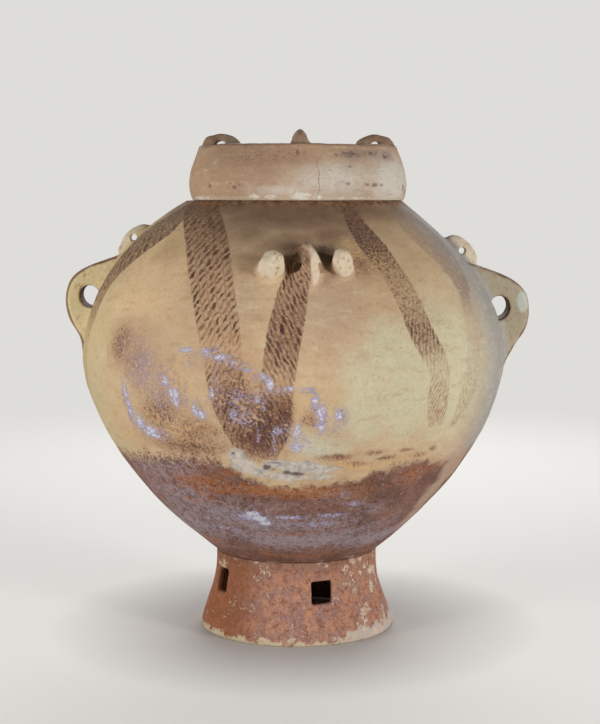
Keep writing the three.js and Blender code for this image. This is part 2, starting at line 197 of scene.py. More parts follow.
def settle(points, body):
    """Moves places of the true shape to where the uneven jar has them."""
    flat = np.stack([points[:, 0], points[:, 1], np.zeros(len(points))], 1)
    distance = np.maximum(np.linalg.norm(flat, axis=1), 1e-6)
    outward = flat / distance[:, None]
    height = points[:, 2]
    if body == "lid":
        shift = np.full(len(points), LID_SHIFT)
    else:
        shift = np.interp(height, LEAN_HEIGHTS, LEAN_SHIFTS)
    ring = outward * radius_at(height)[:, None] + np.stack([0 * height, 0 * height, height], 1)
    fade = np.clip(distance / 60, 0, 1)
    swell = sum(depth * ripple(ring, size, seed) for depth, size, seed in SWELLS) * fade
    moved = points + outward * swell[:, None]
    moved[:, 0] += shift
    if body == "lid":
        rise = np.clip((height - LID_TOP + 25) / 20, 0, 1)
        moved[:, 2] += rise * (0.6 * ripple(points, 30, 6) + 0.3 * ripple(points, 11, 7))
    return moved


# Solid shapes, as fields that are negative inside and about as large as the distance to the surface


def smaller_blend(a, b, reach):
    """Joins two solids with a fillet."""
    h = np.clip(0.5 + (b - a) / (2 * reach), 0, 1)
    return b + (a - b) * h - reach * h * (1 - h)


def larger_blend(a, b, reach):
    """Keeps what two solids share, with a rounded edge."""
    return -smaller_blend(-a, -b, reach)


def to_distance(values, cell):
    slopes = np.gradient(values, *cell)
    return values / np.maximum(np.sqrt(sum(s * s for s in slopes)), 1e-6)


def grid_between(low, high, cell):
    counts = [int(math.ceil((b - a) / cell)) + 1 for a, b in zip(low, high)]
    axes = [np.linspace(a, b, n) for a, b, n in zip(low, high, counts)]
    return axes, np.stack(np.meshgrid(*axes, indexing="ij"), -1)


def skin_of(values, axes):
    """Points and four-sided faces where a field on a grid changes sign, one point in each such cell."""
    inside = values < 0
    shape = tuple(n - 1 for n in values.shape)
    total = np.zeros(shape + (3,))
    count = np.zeros(shape)
    corner_slices = (slice(0, -1), slice(1, None))
    for axis in range(3):
        others = [a for a in range(3) if a != axis]
        for first in (0, 1):
            for second in (0, 1):
                near = [None] * 3
                near[axis] = corner_slices[0]
                near[others[0]] = corner_slices[first]
                near[others[1]] = corner_slices[second]
                far = list(near)
                far[axis] = corner_slices[1]
                a = values[tuple(near)]
                b = values[tuple(far)]
                crossed = inside[tuple(near)] != inside[tuple(far)]
                share = np.where(crossed, a / np.where(crossed, a - b, 1), 0)
                place = np.zeros(shape + (3,))
                place[..., axis] = share
                place[..., others[0]] = first
                place[..., others[1]] = second
                total += place * crossed[..., None]
                count += crossed
    cells = np.argwhere(count > 0)
    number = np.full(shape, -1)
    number[tuple(cells.T)] = np.arange(len(cells))
    local = total[tuple(cells.T)] / count[tuple(cells.T)][:, None]
    steps = np.array([axis[1] - axis[0] for axis in axes])
    starts = np.array([axis[0] for axis in axes])
    points = starts + (cells + local) * steps
    faces = []
    for axis in range(3):
        others = [a for a in range(3) if a != axis]
        near = [slice(1, -1)] * 3
        near[axis] = slice(0, -1)
        far = [slice(1, -1)] * 3
        far[axis] = slice(1, None)
        crossed = np.argwhere(inside[tuple(near)] != inside[tuple(far)])
        corner = crossed.copy()
        for other in others:
            corner[:, other] += 1
        leaving = inside[tuple(corner.T)]
        quads = []
        for first, second in ((0, 0), (1, 0), (1, 1), (0, 1)):
            cell = corner.copy()
            cell[:, others[0]] -= first
            cell[:, others[1]] -= second
            quads.append(number[tuple(cell.T)])
        quads = np.stack(quads, 1)
        flip = leaving if axis != 1 else ~leaving
        quads[~flip] = quads[~flip][:, ::-1]
        faces.append(quads)
    return points, np.vstack(faces).tolist()


def turned(points, azimuth):
    """Turns points made for the side at azimuth 90 to another azimuth."""
    angle = math.radians(azimuth - 90)
    cos, sin = math.cos(angle), math.sin(angle)
    x, y = points[:, 0], points[:, 1]
    return np.stack([x * cos - y * sin, x * sin + y * cos, points[:, 2]], 1)


def wall_field(points):
    """Distance from the jar's outside, which is negative inside."""
    height = points[..., 2]
    lean = lean_at(height)
    return (np.hypot(points[..., 0], points[..., 1]) - radius_at(height)) / np.sqrt(1 + lean**2)


def on_wall(shape, wall, reach, skirt, depth=2.5):
    """A piece luted on to a wall: a fillet runs out on to it, and the piece ends just under it."""
    joined = smaller_blend(shape, wall, reach) + 0.2
    return np.maximum(np.maximum(joined, -(wall + depth)), shape - skirt)


def outline_distance(x, z, outline):
    """Signed distance of places in a plane from a closed outline, negative inside."""
    best = np.full(x.shape, 1e9)
    inside = np.zeros(x.shape, bool)
    ends = np.roll(outline, -1, axis=0)
    for (ax, az), (bx, bz) in zip(outline, ends):
        ex, ez = bx - ax, bz - az
        along = np.clip(((x - ax) * ex + (z - az) * ez) / (ex * ex + ez * ez), 0, 1)
        best = np.minimum(best, np.hypot(x - ax - along * ex, z - az - along * ez))
        crosses = (az > z) != (bz > z)
        inside ^= crosses & (x < ax + (z - az) * ex / (ez if ez else 1e-9))
    return np.where(inside, -best, best)


# Attached pieces

HANDLE_CELL = 1.25 * COARSE
FOOT_CELL = 1.5 * COARSE
SMALL_CELL = 0.8 * COARSE
HOLE_SHAPES = {"left": (12.2, 12.9, 20.0), "right": (11.8, 13.6, 16.0)}  # half width, half height, tilt
HANDLE_TOP = 56.0
HANDLE_BOTTOM = -70.0
HANDLE_EDGE = 6.0
HANDLE_BROWS = {
    "left": ((-34, 48), (0, 38), (30.5, 30), (30.5, -5)),
    "right": ((-25, 50.5), (12, 38), (37, 30), (37, -3)),
}
HANDLE_CHINS = {
    "left": ((30.5, -5), (30.5, -25), (18, -42), (6, -66)),
    "right": ((37, -3), (37, -26), (20, -42), (5, HANDLE_BOTTOM)),
}


def uneven(field, points, depth, size, seed):
    """A solid's field with the ripples that hands leave in clay."""
    return field + depth * ripple(points.reshape(-1, 3), size, seed).reshape(field.shape)


def handle_outline(side):
    """Outline of a handle round its hole's centre."""
    inner = np.array([(-70, HANDLE_BOTTOM - 12), (-70, HANDLE_TOP)])
    return np.vstack([inner, bezier(*HANDLE_BROWS[side], 24), bezier(*HANDLE_CHINS[side], 24)[1:]])


def hole_distance(x, z, side):
    half_width, half_height, tilt = HOLE_SHAPES[side]
    angle = math.radians(tilt)
    a = (x * math.cos(angle) - z * math.sin(angle)) / half_width
    b = (x * math.sin(angle) + z * math.cos(angle)) / half_height
    return (np.hypot(a, b) - 1) * half_width


def handle(side):
    centre = np.array([HOLE_DISTANCES[side], 0.0, HANDLE_HEIGHTS[side]])
    nose = HANDLE_CHINS[side][0][0]
    low = centre + (-48, -31, HANDLE_BOTTOM - 20)
    high = centre + (nose + 4, 31, HANDLE_TOP + 16)
    axes, points = grid_between(low, high, HANDLE_CELL)
    flat_x, flat_z = np.meshgrid(axes[0] - centre[0], axes[2] - centre[2], indexing="ij")
    outline = outline_distance(flat_x, flat_z, handle_outline(side))[:, None, :] + HANDLE_EDGE
    half = np.interp(points[..., 0] - centre[0], (-50, nose), (23, 17))
    sides = np.abs(points[..., 1]) - half + HANDLE_EDGE
    slab = np.minimum(np.maximum(outline, sides), 0)
    slab += np.hypot(np.maximum(outline, 0), np.maximum(sides, 0)) - HANDLE_EDGE
    slab = uneven(slab, points, 0.5, 16, 21)
    hole = hole_distance(flat_x, flat_z, side)[:, None, :] + 0 * slab
    shape = larger_blend(slab, -hole, 3.0)
    joined = on_wall(shape, wall_field(points), reach=9.0, skirt=16.0)
    return skin_of(np.maximum(joined, -hole), axes)


def frame_on_wall(height, points):
    """Distances down the slope, round the jar and straight out from a place on the wall at azimuth 90."""
    lean = float(lean_at(height))
    length = math.hypot(1, lean)
    out = np.array([1 / length, 0, -lean / length])
    up = np.array([lean / length, 0, 1 / length])
    start = np.array([float(radius_at(height)), 0, height])
    away = points - start
    return -(away @ up), away[..., 1], away @ out


def lump_between(along, across, up, length, thickness, height, pinch, cell):
    """A ball of clay drawn out along its length and pinched thinner towards its crest."""
    narrow = 1 - pinch * np.clip(up / height, 0, 1)
    flat = (2 * along / length) ** 2 + (2 * across / (thickness * narrow)) ** 2
    return np.clip(to_distance(np.sqrt(flat + (up / height) ** 2) - 1, cell), -20, 20)


def lug(name):
    height = LUGS[name][1]
    rise = LUG_HEIGHTS[name]
    front = name == "front"
    radius = float(radius_at(height))
    low = (radius - 42, -26, height - 40)
    high = (radius + 36, 26, height + 40)
    axes, points = grid_between(low, high, SMALL_CELL)
    cell = [axis[1] - axis[0] for axis in axes]
    down, around, out = frame_on_wall(height, points)
    crest = np.clip(out / rise, 0, 1)
    bend = (6 * np.exp(-((down + 4) / 9) ** 2) - 1 if front else 1.5 * np.sin(down / 16)) * crest
    length, thickness, pinch = (56, 32, 0.6) if front else (50, 25, 0.62)
    lump = lump_between(down, around - bend, out, length, thickness, rise, pinch, cell)
    bore_down, bore_out, bore_radius = LUG_BORES[name]
    bore = np.hypot(down - bore_down, out - bore_out) - bore_radius - 0.005 * around**2
    shape = larger_blend(lump, -bore, 1.6)
    shape = uneven(shape, points, 0.35, 8, 22)
    joined = on_wall(shape, wall_field(points), reach=6.0, skirt=10.0)
    if name in HANDLE_HEIGHTS:
        above = HANDLE_HEIGHTS[name] + HANDLE_TOP - 9 - points[..., 2]
        joined = np.maximum(joined, above)
    return skin_of(np.maximum(joined, -bore), axes)


def knob(name):
    root = KNOBS[name][1]
    height = KNOB_HEIGHT
    radius = float(radius_at(height))
    low = (radius - 32, -32, height - 34)
    high = (radius + 34, 32, height + 38)
    axes, points = grid_between(low, high, SMALL_CELL)
    down, around, out = frame_on_wall(height, points)
    thick = np.interp(out, (-4, 6, 14, 24), (root, 0.95 * root, 0.86 * root, 0.66 * root))
    lean = 0.2 if name == "right" else -0.2
    across = np.hypot(down * 1.02 + KNOB_RISES[name] * out, around + lean * out)
    side = across - thick
    top = out - KNOB_LENGTH + 0.014 * across**2 - 1.2 * np.exp(-((across / 3.5) ** 2))
    if name == "right":
        top += 4 * np.exp(-((around - 0.5) ** 2 + (down - 1) ** 2) / 5)
    shape = larger_blend(side, top, 3.2)
    shape = uneven(shape, points, 0.35, 7, 12)
    return skin_of(on_wall(shape, wall_field(points), reach=5.0, skirt=9.0), axes)


def lid_lug(name):
    centre = LID_LUG_PLACES[name]
    low = (centre - 34, -22, LID_TOP - 10)
    high = (centre + 34, 22, LID_TOP + 22)
    axes, points = grid_between(low, high, SMALL_CELL)
    cell = [axis[1] - axis[0] for axis in axes]
    along = points[..., 0] - centre
    up = points[..., 2] - LID_TOP
    rise = LID_LUG_RISES[name]
    lump = lump_between(along, points[..., 1], up, 46, 23, rise, 0.35, cell)
    bore = np.hypot(along, (up - rise + 14.5)) - 5.8
    shape = larger_blend(lump, -bore, 1.6)
    shape = uneven(shape, points, 0.3, 7, 23)
    top = larger_blend(up, wall_field(points), 3.0)
    joined = on_wall(shape, top, reach=4.0, skirt=8.0)
    return skin_of(np.maximum(joined, -bore), axes)


def pedestal_foot():
    low = (-FOOT_RADIUS - 4, -FOOT_RADIUS - 4, -3)
    high = (FOOT_RADIUS + 4, FOOT_RADIUS + 4, WAIST_HEIGHT + 3)
    axes, points = grid_between(low, high, FOOT_CELL)
    height = points[..., 2]
    around = np.hypot(points[..., 0], points[..., 1])
    outer = np.interp(height, FOOT[:, 1], FOOT[:, 0])
    slope = np.sqrt(1 + lean_at(np.clip(height, 6, 90)) ** 2)
    wall = np.abs(around - outer + WALL / 2) / slope - WALL / 2
    solid = larger_blend(wall, -height, 3.5)
    solid = np.maximum(solid, height - underside(around) + 0.3)
    for azimuth, middle, half_width, half_height in WINDOWS:
        angle = math.radians(azimuth)
        across = points[..., 0] * math.cos(angle) + points[..., 1] * math.sin(angle)
        outward = points[..., 0] * math.sin(angle) - points[..., 1] * math.cos(angle)
        across = across + 0.5 * np.sin(height / 5 + azimuth)
        narrow = np.maximum(np.abs(across) - half_width + 3, 0)
        low_high = np.maximum(np.abs(height - middle - 0.03 * across) - half_height + 3, 0)
        opening = np.hypot(narrow, low_high) - 3.0
        opening = np.maximum(opening, 40 - outward)
        solid = larger_blend(solid, -opening, 2.2)
    return skin_of(solid, axes)


# Turned pieces


def lathe(profile, steps):
    """A skin made by turning a profile that starts and ends on the axis, or closes on itself."""
    steps = int(steps / COARSE)
    capped = profile[0][0] < 1e-6
    rings = np.array(profile[1:-1] if capped else profile, float)
    angles = np.linspace(0, 2 * math.pi, steps, endpoint=False)
    circle = np.stack([np.sin(angles), -np.cos(angles)], 1)
    points = np.zeros((len(rings), steps, 3))
    points[..., :2] = rings[:, 0][:, None, None] * circle[None]
    points[..., 2] = rings[:, 1][:, None]
    points = points.reshape(-1, 3)
    column = np.arange(steps)
    following = (column + 1) % steps
    faces = []
    count = len(rings)
    pairs = [(i, i + 1) for i in range(count - 1)] + ([] if capped else [(count - 1, 0)])
    for lower, upper in pairs:
        below, above = lower * steps, upper * steps
        ring = [below + column, below + following, above + following, above + column]
        faces.append(np.stack(ring, 1))
    faces = np.vstack(faces).tolist()
    if capped:
        points = np.vstack([points, [[0, 0, profile[0][1]], [0, 0, profile[-1][1]]]])
        first, last = len(points) - 2, len(points) - 1
        faces += [[first, int(b), int(a)] for a, b in zip(column, following)]
        base = (count - 1) * steps
        faces += [[last, base + int(a), base + int(b)] for a, b in zip(column, following)]
    return points, faces


def spaced(profile, gap):
    """The same profile with points at about equal distances."""
    profile = np.array(profile, float)
    lengths = np.concatenate([[0], np.cumsum(np.linalg.norm(np.diff(profile, axis=0), axis=1))])
    count = max(2, int(round(lengths[-1] / gap)) + 1)
    at = np.linspace(0, lengths[-1], count)
    return np.stack([np.interp(at, lengths, profile[:, 0]), np.interp(at, lengths, profile[:, 1])], 1)


def body_skin():
    radii = np.linspace(0, WAIST_RADIUS, 14)
    bottom = np.stack([radii, underside(radii)], 1)
    outside = spaced(np.vstack([BOWL, SHOULDER[1:]]), 1.9 * COARSE)
    inner = np.vstack([inset(BOWL, WALL), inset(SHOULDER, WALL)[1:]])
    inner = inner[(inner[:, 0] > WAIST_RADIUS - 6) & (inner[:, 1] < LEDGE_HEIGHT - 10)]
    floor = np.stack([radii[::-1], underside(radii[::-1]) + FLOOR_THICKNESS], 1)
    steps = ((NECK_RADIUS, 0), (MOUTH_RADIUS, 5), (MOUTH_RADIUS, -9))
    ledge = [(radius, LEDGE_HEIGHT + rise) for radius, rise in steps]
    inside = spaced(np.vstack([ledge, spaced(inner[::-1], 7)]), 6)
    floor = floor[floor[:, 0] < WAIST_RADIUS - 8]
    return lathe(np.vstack([bottom, outside[1:], inside, floor]), steps=720)


def neck_skin():
    base = LEDGE_HEIGHT + 0.3
    middle = MOUTH_RADIUS + WALL / 2
    rim = arc((middle + 1.5, NECK_RIM - WALL / 2), WALL / 2, 0, 180, 10)
    outside = [(NECK_RADIUS, base), (NECK_RADIUS, NECK_RIM - 12), (NECK_RADIUS + 1.5, NECK_RIM - 5)]
    inside = [(MOUTH_RADIUS + 1, NECK_RIM - 6), (MOUTH_RADIUS, NECK_RIM - 12), (MOUTH_RADIUS, base + 5)]
    return lathe(np.vstack([spaced(outside, 3), rim, spaced(inside, 3)]), steps=360)


def lid_skin():
    inner_top = LID_TOP - 10
    wall = LID[LID[:, 1] < inner_top - 6]
    inner = wall - (WALL, 0)
    ceiling = [(0, inner_top), (LID_TOP_RADIUS - 8, inner_top)]
    edge = np.vstack([
        arc((LID_RADIUS - WALL + 3, LID_BASE + 2.5), 2.5, 180, 270, 4),
        arc((LID_RADIUS - 2, LID_BASE + 2.5), 2.5, 270, 350, 4),
    ])
    rounding = arc((LID_TOP_RADIUS + 1, LID_TOP - LID_ROUND), LID_ROUND, 0, 90, 5)
    inside = spaced(np.vstack([ceiling, inner[::-1][:-2]]), 5)
    outside = spaced(np.vstack([LID[1:], rounding]), 1.6 * COARSE)
    top = spaced([rounding[-1], (0, LID_TOP)], 4)
    return lathe(np.vstack([inside, edge, outside, top[1:]]), steps=600)


# Painted bands, each as rows of a height, the azimuths of its left and right edges there, and how much of
# its dabs, wash and dots is left there

FALLING_BANDS = (
    ((506, -68, -42, 0.5, 0.8, 0.2), (490, -53.5, -30, 0.8, 0.75, 0.2), (480, -47, -26, 0.7, 0.7, 0),
     (465, -40.5, -22, 0.9, 0.5, 0), (450, -36, -19.5, 1, 0.3, 0), (430, -32, -17, 1, 0.12, 0),
     (410, -28.5, -15.5, 1, 0.1, 0), (390, -26.5, -14, 1, 0.12, 0), (370, -24.5, -13, 0.85, 0.12, 0),
     (358, -23.4, -12.7, 0.8, 0.05, 0), (351, -23, -12.5, 0.05, 0, 0), (346, -22.8, -12.4, 0.05, 0, 0),
     (338, -22, -12, 0.9, 0.1, 0), (312, -21, -11, 0.9, 0.2, 0.1), (300, -20.5, -10, 0.9, 0.35, 0.3),
     (270, -18.5, -9, 0.9, 0.5, 0.4), (250, -16.5, -8.5, 0.9, 0.4, 0.3), (236, -13, -8, 0.2, 0, 0)),
    ((505, 21.5, 28.5, 0, 0.5, 0.7), (490, 22.5, 30, 0.2, 0.8, 1.2), (465, 22.5, 33.5, 0.3, 0.85, 1.2),
     (447, 24.5, 34.5, 0.3, 0.7, 1), (436, 27, 35.5, 0.1, 0.35, 0.5), (410, 28.5, 37, 0.1, 0.2, 0.35),
     (392, 29.5, 37.5, 0.3, 0.25, 0.35), (382, 29.5, 37.5, 0.9, 0.5, 0.3), (365, 30.5, 39, 0.9, 0.5, 0.3),
     (352, 32, 41, 0.8, 0.35, 0.2), (340, 33.5, 42, 0.35, 0.05, 0.1), (322, 36.5, 43, 0.2, 0.05, 0.1),
     (312, 36, 43.5, 0.6, 0.08, 0), (300, 35.5, 43.5, 0.6, 0.08, 0), (285, 36.5, 44, 0.7, 0.12, 0),
     (268, 38, 44, 0.6, 0.1, 0)),
    ((500, 76, 92, 0.6, 0.6, 0.1), (440, 85, 95, 0.8, 0.3, 0), (370, 92, 101, 0.8, 0.2, 0),
     (325, 96, 104, 0.7, 0.15, 0), (270, 101, 108, 0.6, 0.1, 0), (240, 105, 108, 0.3, 0.1, 0)),
    ((500, 134, 152, 0.7, 0.6, 0.2), (440, 145, 156, 0.9, 0.3, 0), (370, 151, 161, 0.9, 0.2, 0),
     (325, 156, 165, 0.9, 0.15, 0), (270, 161, 169, 0.8, 0.15, 0), (236, 165, 168, 0.5, 0.1, 0)),
    ((500, 192, 212, 0.6, 0.7, 0.2), (440, 203, 216, 1, 0.3, 0), (370, 211, 222, 0.9, 0.15, 0),
     (325, 216, 225, 0.9, 0.1, 0), (270, 221, 229, 0.8, 0.2, 0), (238, 225, 228, 0.5, 0.1, 0)),
    ((500, 240, 256, 0.7, 0.6, 0), (440, 250, 262, 0.9, 0.3, 0), (370, 258, 268, 0.9, 0.2, 0),
     (325, 263, 272, 0.8, 0.15, 0), (270, 272, 280, 0.8, 0.2, 0), (236, 280, 284, 0.5, 0.1, 0)),
)
RISING_BANDS = (
    ((452, 0.5, 5, 0.8, 0.4, 0), (430, -2, 5.8, 1, 0.35, 0), (410, -4, 4.5, 1, 0.4, 0),
     (390, -5.5, 3.5, 1, 0.5, 0), (370, -6.5, 2.5, 1, 0.65, 0), (350, -7, 1.5, 1, 0.6, 0),
     (330, -7.5, 1, 0.95, 0.3, 0), (318, -8, 0.5, 0.2, 0, 0), (308, -8.2, 0.2, 0.6, 0.3, 0.2),
     (300, -8.5, 0, 0.9, 0.5, 0.4), (270, -9, -0.5, 0.9, 0.65, 0.5), (250, -9, -2, 0.9, 0.6, 0.4),
     (238, -8.5, -5, 0.4, 0.2, 0)),
    ((505, 46.5, 67, 0, 0.35, 0.2), (490, 47.5, 71, 0, 0.5, 0), (480, 46, 72, 0, 0.5, 0),
     (465, 46, 74, 0, 0.5, 0), (450, 49.5, 71, 0.1, 0.5, 0), (430, 54, 69, 0.2, 0.5, 0.1),
     (412, 54.5, 65, 0.4, 0.55, 0.3), (398, 54, 61, 0.3, 0.45, 0.2), (384, 51.5, 59, 0.1, 0.06, 0.05),
     (350, 50.5, 57.5, 0.2, 0.06, 0.05), (330, 49.5, 58, 0.35, 0.08, 0.05), (300, 47.5, 57, 0.4, 0.08, 0),
     (275, 46.5, 52.5, 0.6, 0.12, 0), (260, 46, 49.5, 0.4, 0, 0)),
    ((500, 130, 146, 0.7, 0.6, 0.1), (440, 124, 135, 0.9, 0.3, 0), (370, 117, 127, 0.9, 0.2, 0),
     (325, 112, 121, 0.8, 0.15, 0), (270, 108, 116, 0.7, 0.15, 0), (240, 108, 111, 0.4, 0.1, 0)),
    ((500, 190, 206, 0.7, 0.7, 0.1), (440, 182, 194, 1, 0.35, 0), (370, 176, 186, 0.9, 0.2, 0),
     (325, 172, 181, 0.9, 0.2, 0), (270, 168, 177, 0.8, 0.2, 0), (236, 168, 171, 0.5, 0.1, 0)),
    ((500, 236, 250, 0.6, 0.6, 0.1), (440, 232, 243, 1, 0.3, 0), (370, 229, 239, 0.9, 0.15, 0),
     (325, 228, 237, 0.8, 0.15, 0), (270, 227, 234, 0.8, 0.2, 0), (238, 227, 230, 0.5, 0.1, 0)),
    ((506, 294, 306, 0.3, 0.7, 0), (490, 294, 307, 0.4, 0.75, 0), (480, 285, 312, 0.5, 0.75, 0),
     (465, 277, 309, 0.8, 0.7, 0), (450, 275, 302.5, 0.9, 0.65, 0), (430, 270, 297, 0.9, 0.6, 0),
     (410, 268, 293, 0.8, 0.55, 0), (390, 266, 291, 0.7, 0.45, 0), (370, 267, 290, 0.5, 0.3, 0),
     (350, 271, 289, 0.3, 0.1, 0), (300, 278, 287, 0.4, 0.05, 0), (270, 281, 286, 0.4, 0.1, 0),
     (240, 283, 285, 0.2, 0.05, 0)),
)


def wrapped(degrees):
    return (degrees + 180) % 360 - 180


def rows_at(height, rows):
    """Values of a band's rows at some heights, rounded off where the rows meet."""
    total = 0
    for offset in (-10, -5, 0, 5, 10):
        columns = [np.interp(height + offset, rows[:, 0], rows[:, k]) for k in range(1, 6)]
        total = total + np.stack(columns) / 5
    return total


def band_places(azimuth, height, bands):
    """Each place's share across its nearest band, its distances down it and inside its edges, and what is
    left there of the dabs, wash and dots."""
    place = np.tile((-9.0, 0.0, -20.0), (len(azimuth), 1))
    look = np.zeros((len(azimuth), 3))
    for number, band in enumerate(bands):
        rows = np.array(band, float)[::-1]
        left, right, *remains = rows_at(height, rows)
        width = np.maximum(right - left, 0.1)
        share = wrapped(azimuth - (left + right) / 2) / width + 0.5
        inside = (0.5 - np.abs(share - 0.5)) * np.radians(width) * radius_at(height)
        inside = np.minimum(inside, np.minimum(rows[-1, 0] + 6 - height, height - rows[0, 0] + 4))
        along = length_down(height) + 37 * number
        nearer = inside > place[:, 2]
        place[nearer] = np.stack([share, along, np.clip(inside, -20, 20)], 1)[nearer]
        look[nearer] = np.stack(remains, 1)[nearer]
    return place, look


# Patches of colour: azimuth, height, half width and half height in millimetres, strength

# Darker brown round the top of the shoulder, which faces up: painted shade, with some dirt.
SHOULDER_SHADE_AND_DIRT = (
    (-25, 500, 60, 22, 0.9), (0, 495, 80, 34, 1.1), (25, 500, 60, 28, 1.0), (0, 462, 50, 24, 0.75),
    (12, 450, 18, 14, 0.9), (50, 495, 50, 22, 0.8), (-50, 500, 50, 16, 0.7), (15, 470, 34, 24, 0.8),
    (-14, 472, 34, 26, 0.7), (90, 500, 60, 18, 0.7), (130, 495, 60, 24, 0.9), (180, 498, 70, 24, 0.9),
    (230, 498, 70, 22, 0.8), (285, 498, 60, 20, 0.8), (150, 460, 60, 26, 0.5), (23, 442, 24, 22, 0.5),
)
GREEN = (
    (45, 320, 60, 80, 1.0), (75, 330, 70, 80, 1.0), (18, 300, 36, 56, 0.9), (24, 345, 30, 40, 0.9),
    (28, 330, 34, 50, 0.9), (30, 290, 40, 40, 0.9), (40, 395, 24, 36, 0.5), (8, 248, 34, 16, 0.9),
    (120, 330, 90, 70, 0.7), (-62, 300, 26, 60, 0.35), (230, 340, 80, 70, 0.5), (1, 262, 22, 14, 0.6),
)
PINK = (
    (10, 400, 34, 50, 1.0), (14, 350, 26, 34, 0.6), (-14, 400, 20, 40, 0.6), (4, 380, 20, 40, 0.6),
    (60, 270, 26, 60, 0.9), (48, 235, 24, 20, 0.7), (170, 400, 60, 50, 0.7), (-60, 440, 30, 30, 0.4),
)
OCHRE = (
    (-53, 300, 26, 40, 0.6), (-44, 345, 26, 36, 0.8), (-40, 308, 30, 30, 0.8), (-30, 318, 26, 40, 0.8),
    (-34, 268, 50, 30, 1.0), (-20, 335, 30, 26, 0.6), (-12, 295, 40, 46, 0.8), (3, 296, 26, 26, 0.7),
    (9.7, 233, 12, 6, 0.9), (14.5, 228, 18, 7, 1.3), (20, 223, 20, 7, 1.2), (28, 227, 24, 7, 1.0),
    (36, 231, 24, 6, 1.0), (10, 305, 22, 20, 0.7), (-52, 252, 34, 20, 0.8), (27, 442, 26, 28, 0.9),
    (31, 420, 22, 26, 0.6), (37, 463, 20, 22, 0.5), (150, 270, 90, 50, 0.9), (215, 290, 70, 60, 0.8),
    (262, 280, 60, 50, 0.8), (100, 255, 70, 18, 0.7), (56, 370, 24, 40, 0.4), (-57, 420, 20, 40, 0.4),
    (-28, 368, 16, 14, 0.5), (-42, 372, 20, 10, 0.5), (-44, 452, 34, 28, 0.7), (24, 436, 22, 22, 0.8),
    (20, 452, 16, 20, 1.2), (-40, 318, 30, 34, 0.7), (-36, 285, 34, 24, 0.7),
)
LILAC = (
    (-48, 350, 22, 34, 0.7), (-43, 348, 30, 28, 0.75), (-41, 328, 34, 34, 0.95), (-34, 318, 28, 26, 0.85),
    (-35, 300, 34, 30, 0.85), (-34, 275, 34, 18, 0.7), (-25, 340, 20, 16, 0.7), (-48, 285, 8, 34, 1.2),
    (-44, 262, 12, 16, 1.1), (-38, 256, 20, 12, 1.0), (-28, 300, 10, 24, 0.8), (-24, 288, 8, 14, 0.9),
    (-20, 350, 14, 7, 1.2), (-17, 343, 16, 8, 1.1), (-13, 336, 16, 6, 1.0), (-19, 318, 10, 30, 0.8),
    (-17, 300, 16, 30, 0.8), (-8, 325, 10, 8, 0.9), (-13, 303, 24, 16, 1.0), (-7, 306, 10, 16, 0.8),
    (-12, 282, 26, 16, 1.0), (-3, 312, 16, 6, 1.1), (4, 312, 12, 5, 1.1), (5.5, 298, 6, 16, 1.2),
    (7, 280, 8, 22, 1.2), (12, 283, 12, 14, 1.0), (10, 268, 22, 12, 0.8), (-2, 268, 16, 18, 0.8),
    (2, 256, 14, 12, 0.8), (-20, 250, 40, 16, 0.5), (140, 300, 50, 30, 1.0), (165, 265, 40, 30, 1.0),
    (205, 310, 50, 30, 1.0), (240, 270, 40, 25, 1.0),
)
BROWN = (
    (-50, 352, 25, 28, 0.85), (-44, 335, 24, 24, 0.7), (-26, 262, 44, 24, 0.8), (-36, 280, 34, 28, 0.85),
    (-42, 305, 20, 22, 0.5), (-24, 290, 14, 22, 0.5),
    (-30, 245, 60, 14, 0.9), (-15, 330, 26, 16, 0.7), (-14, 300, 34, 34, 0.9), (-8, 275, 30, 36, 1.1),
    (-10, 255, 26, 22, 1.1), (-2, 288, 12, 26, 1.0), (4, 280, 12, 12, 0.8), (12, 237, 22, 5, 1.0),
    (145, 285, 40, 25, 0.8), (210, 300, 30, 30, 0.8), (260, 265, 40, 14, 0.9), (22, 440, 18, 22, 0.7),
    (17, 228, 18, 4, 0.9), (23, 240, 14, 4, 0.9), (27, 233, 16, 4, 0.9), (33, 240, 12, 3, 0.9),
    (43, 238, 6, 4, 1.0), (38, 232, 14, 4, 0.8), (18, 335, 20, 24, 0.3), (22, 300, 14, 14, 0.35),
)
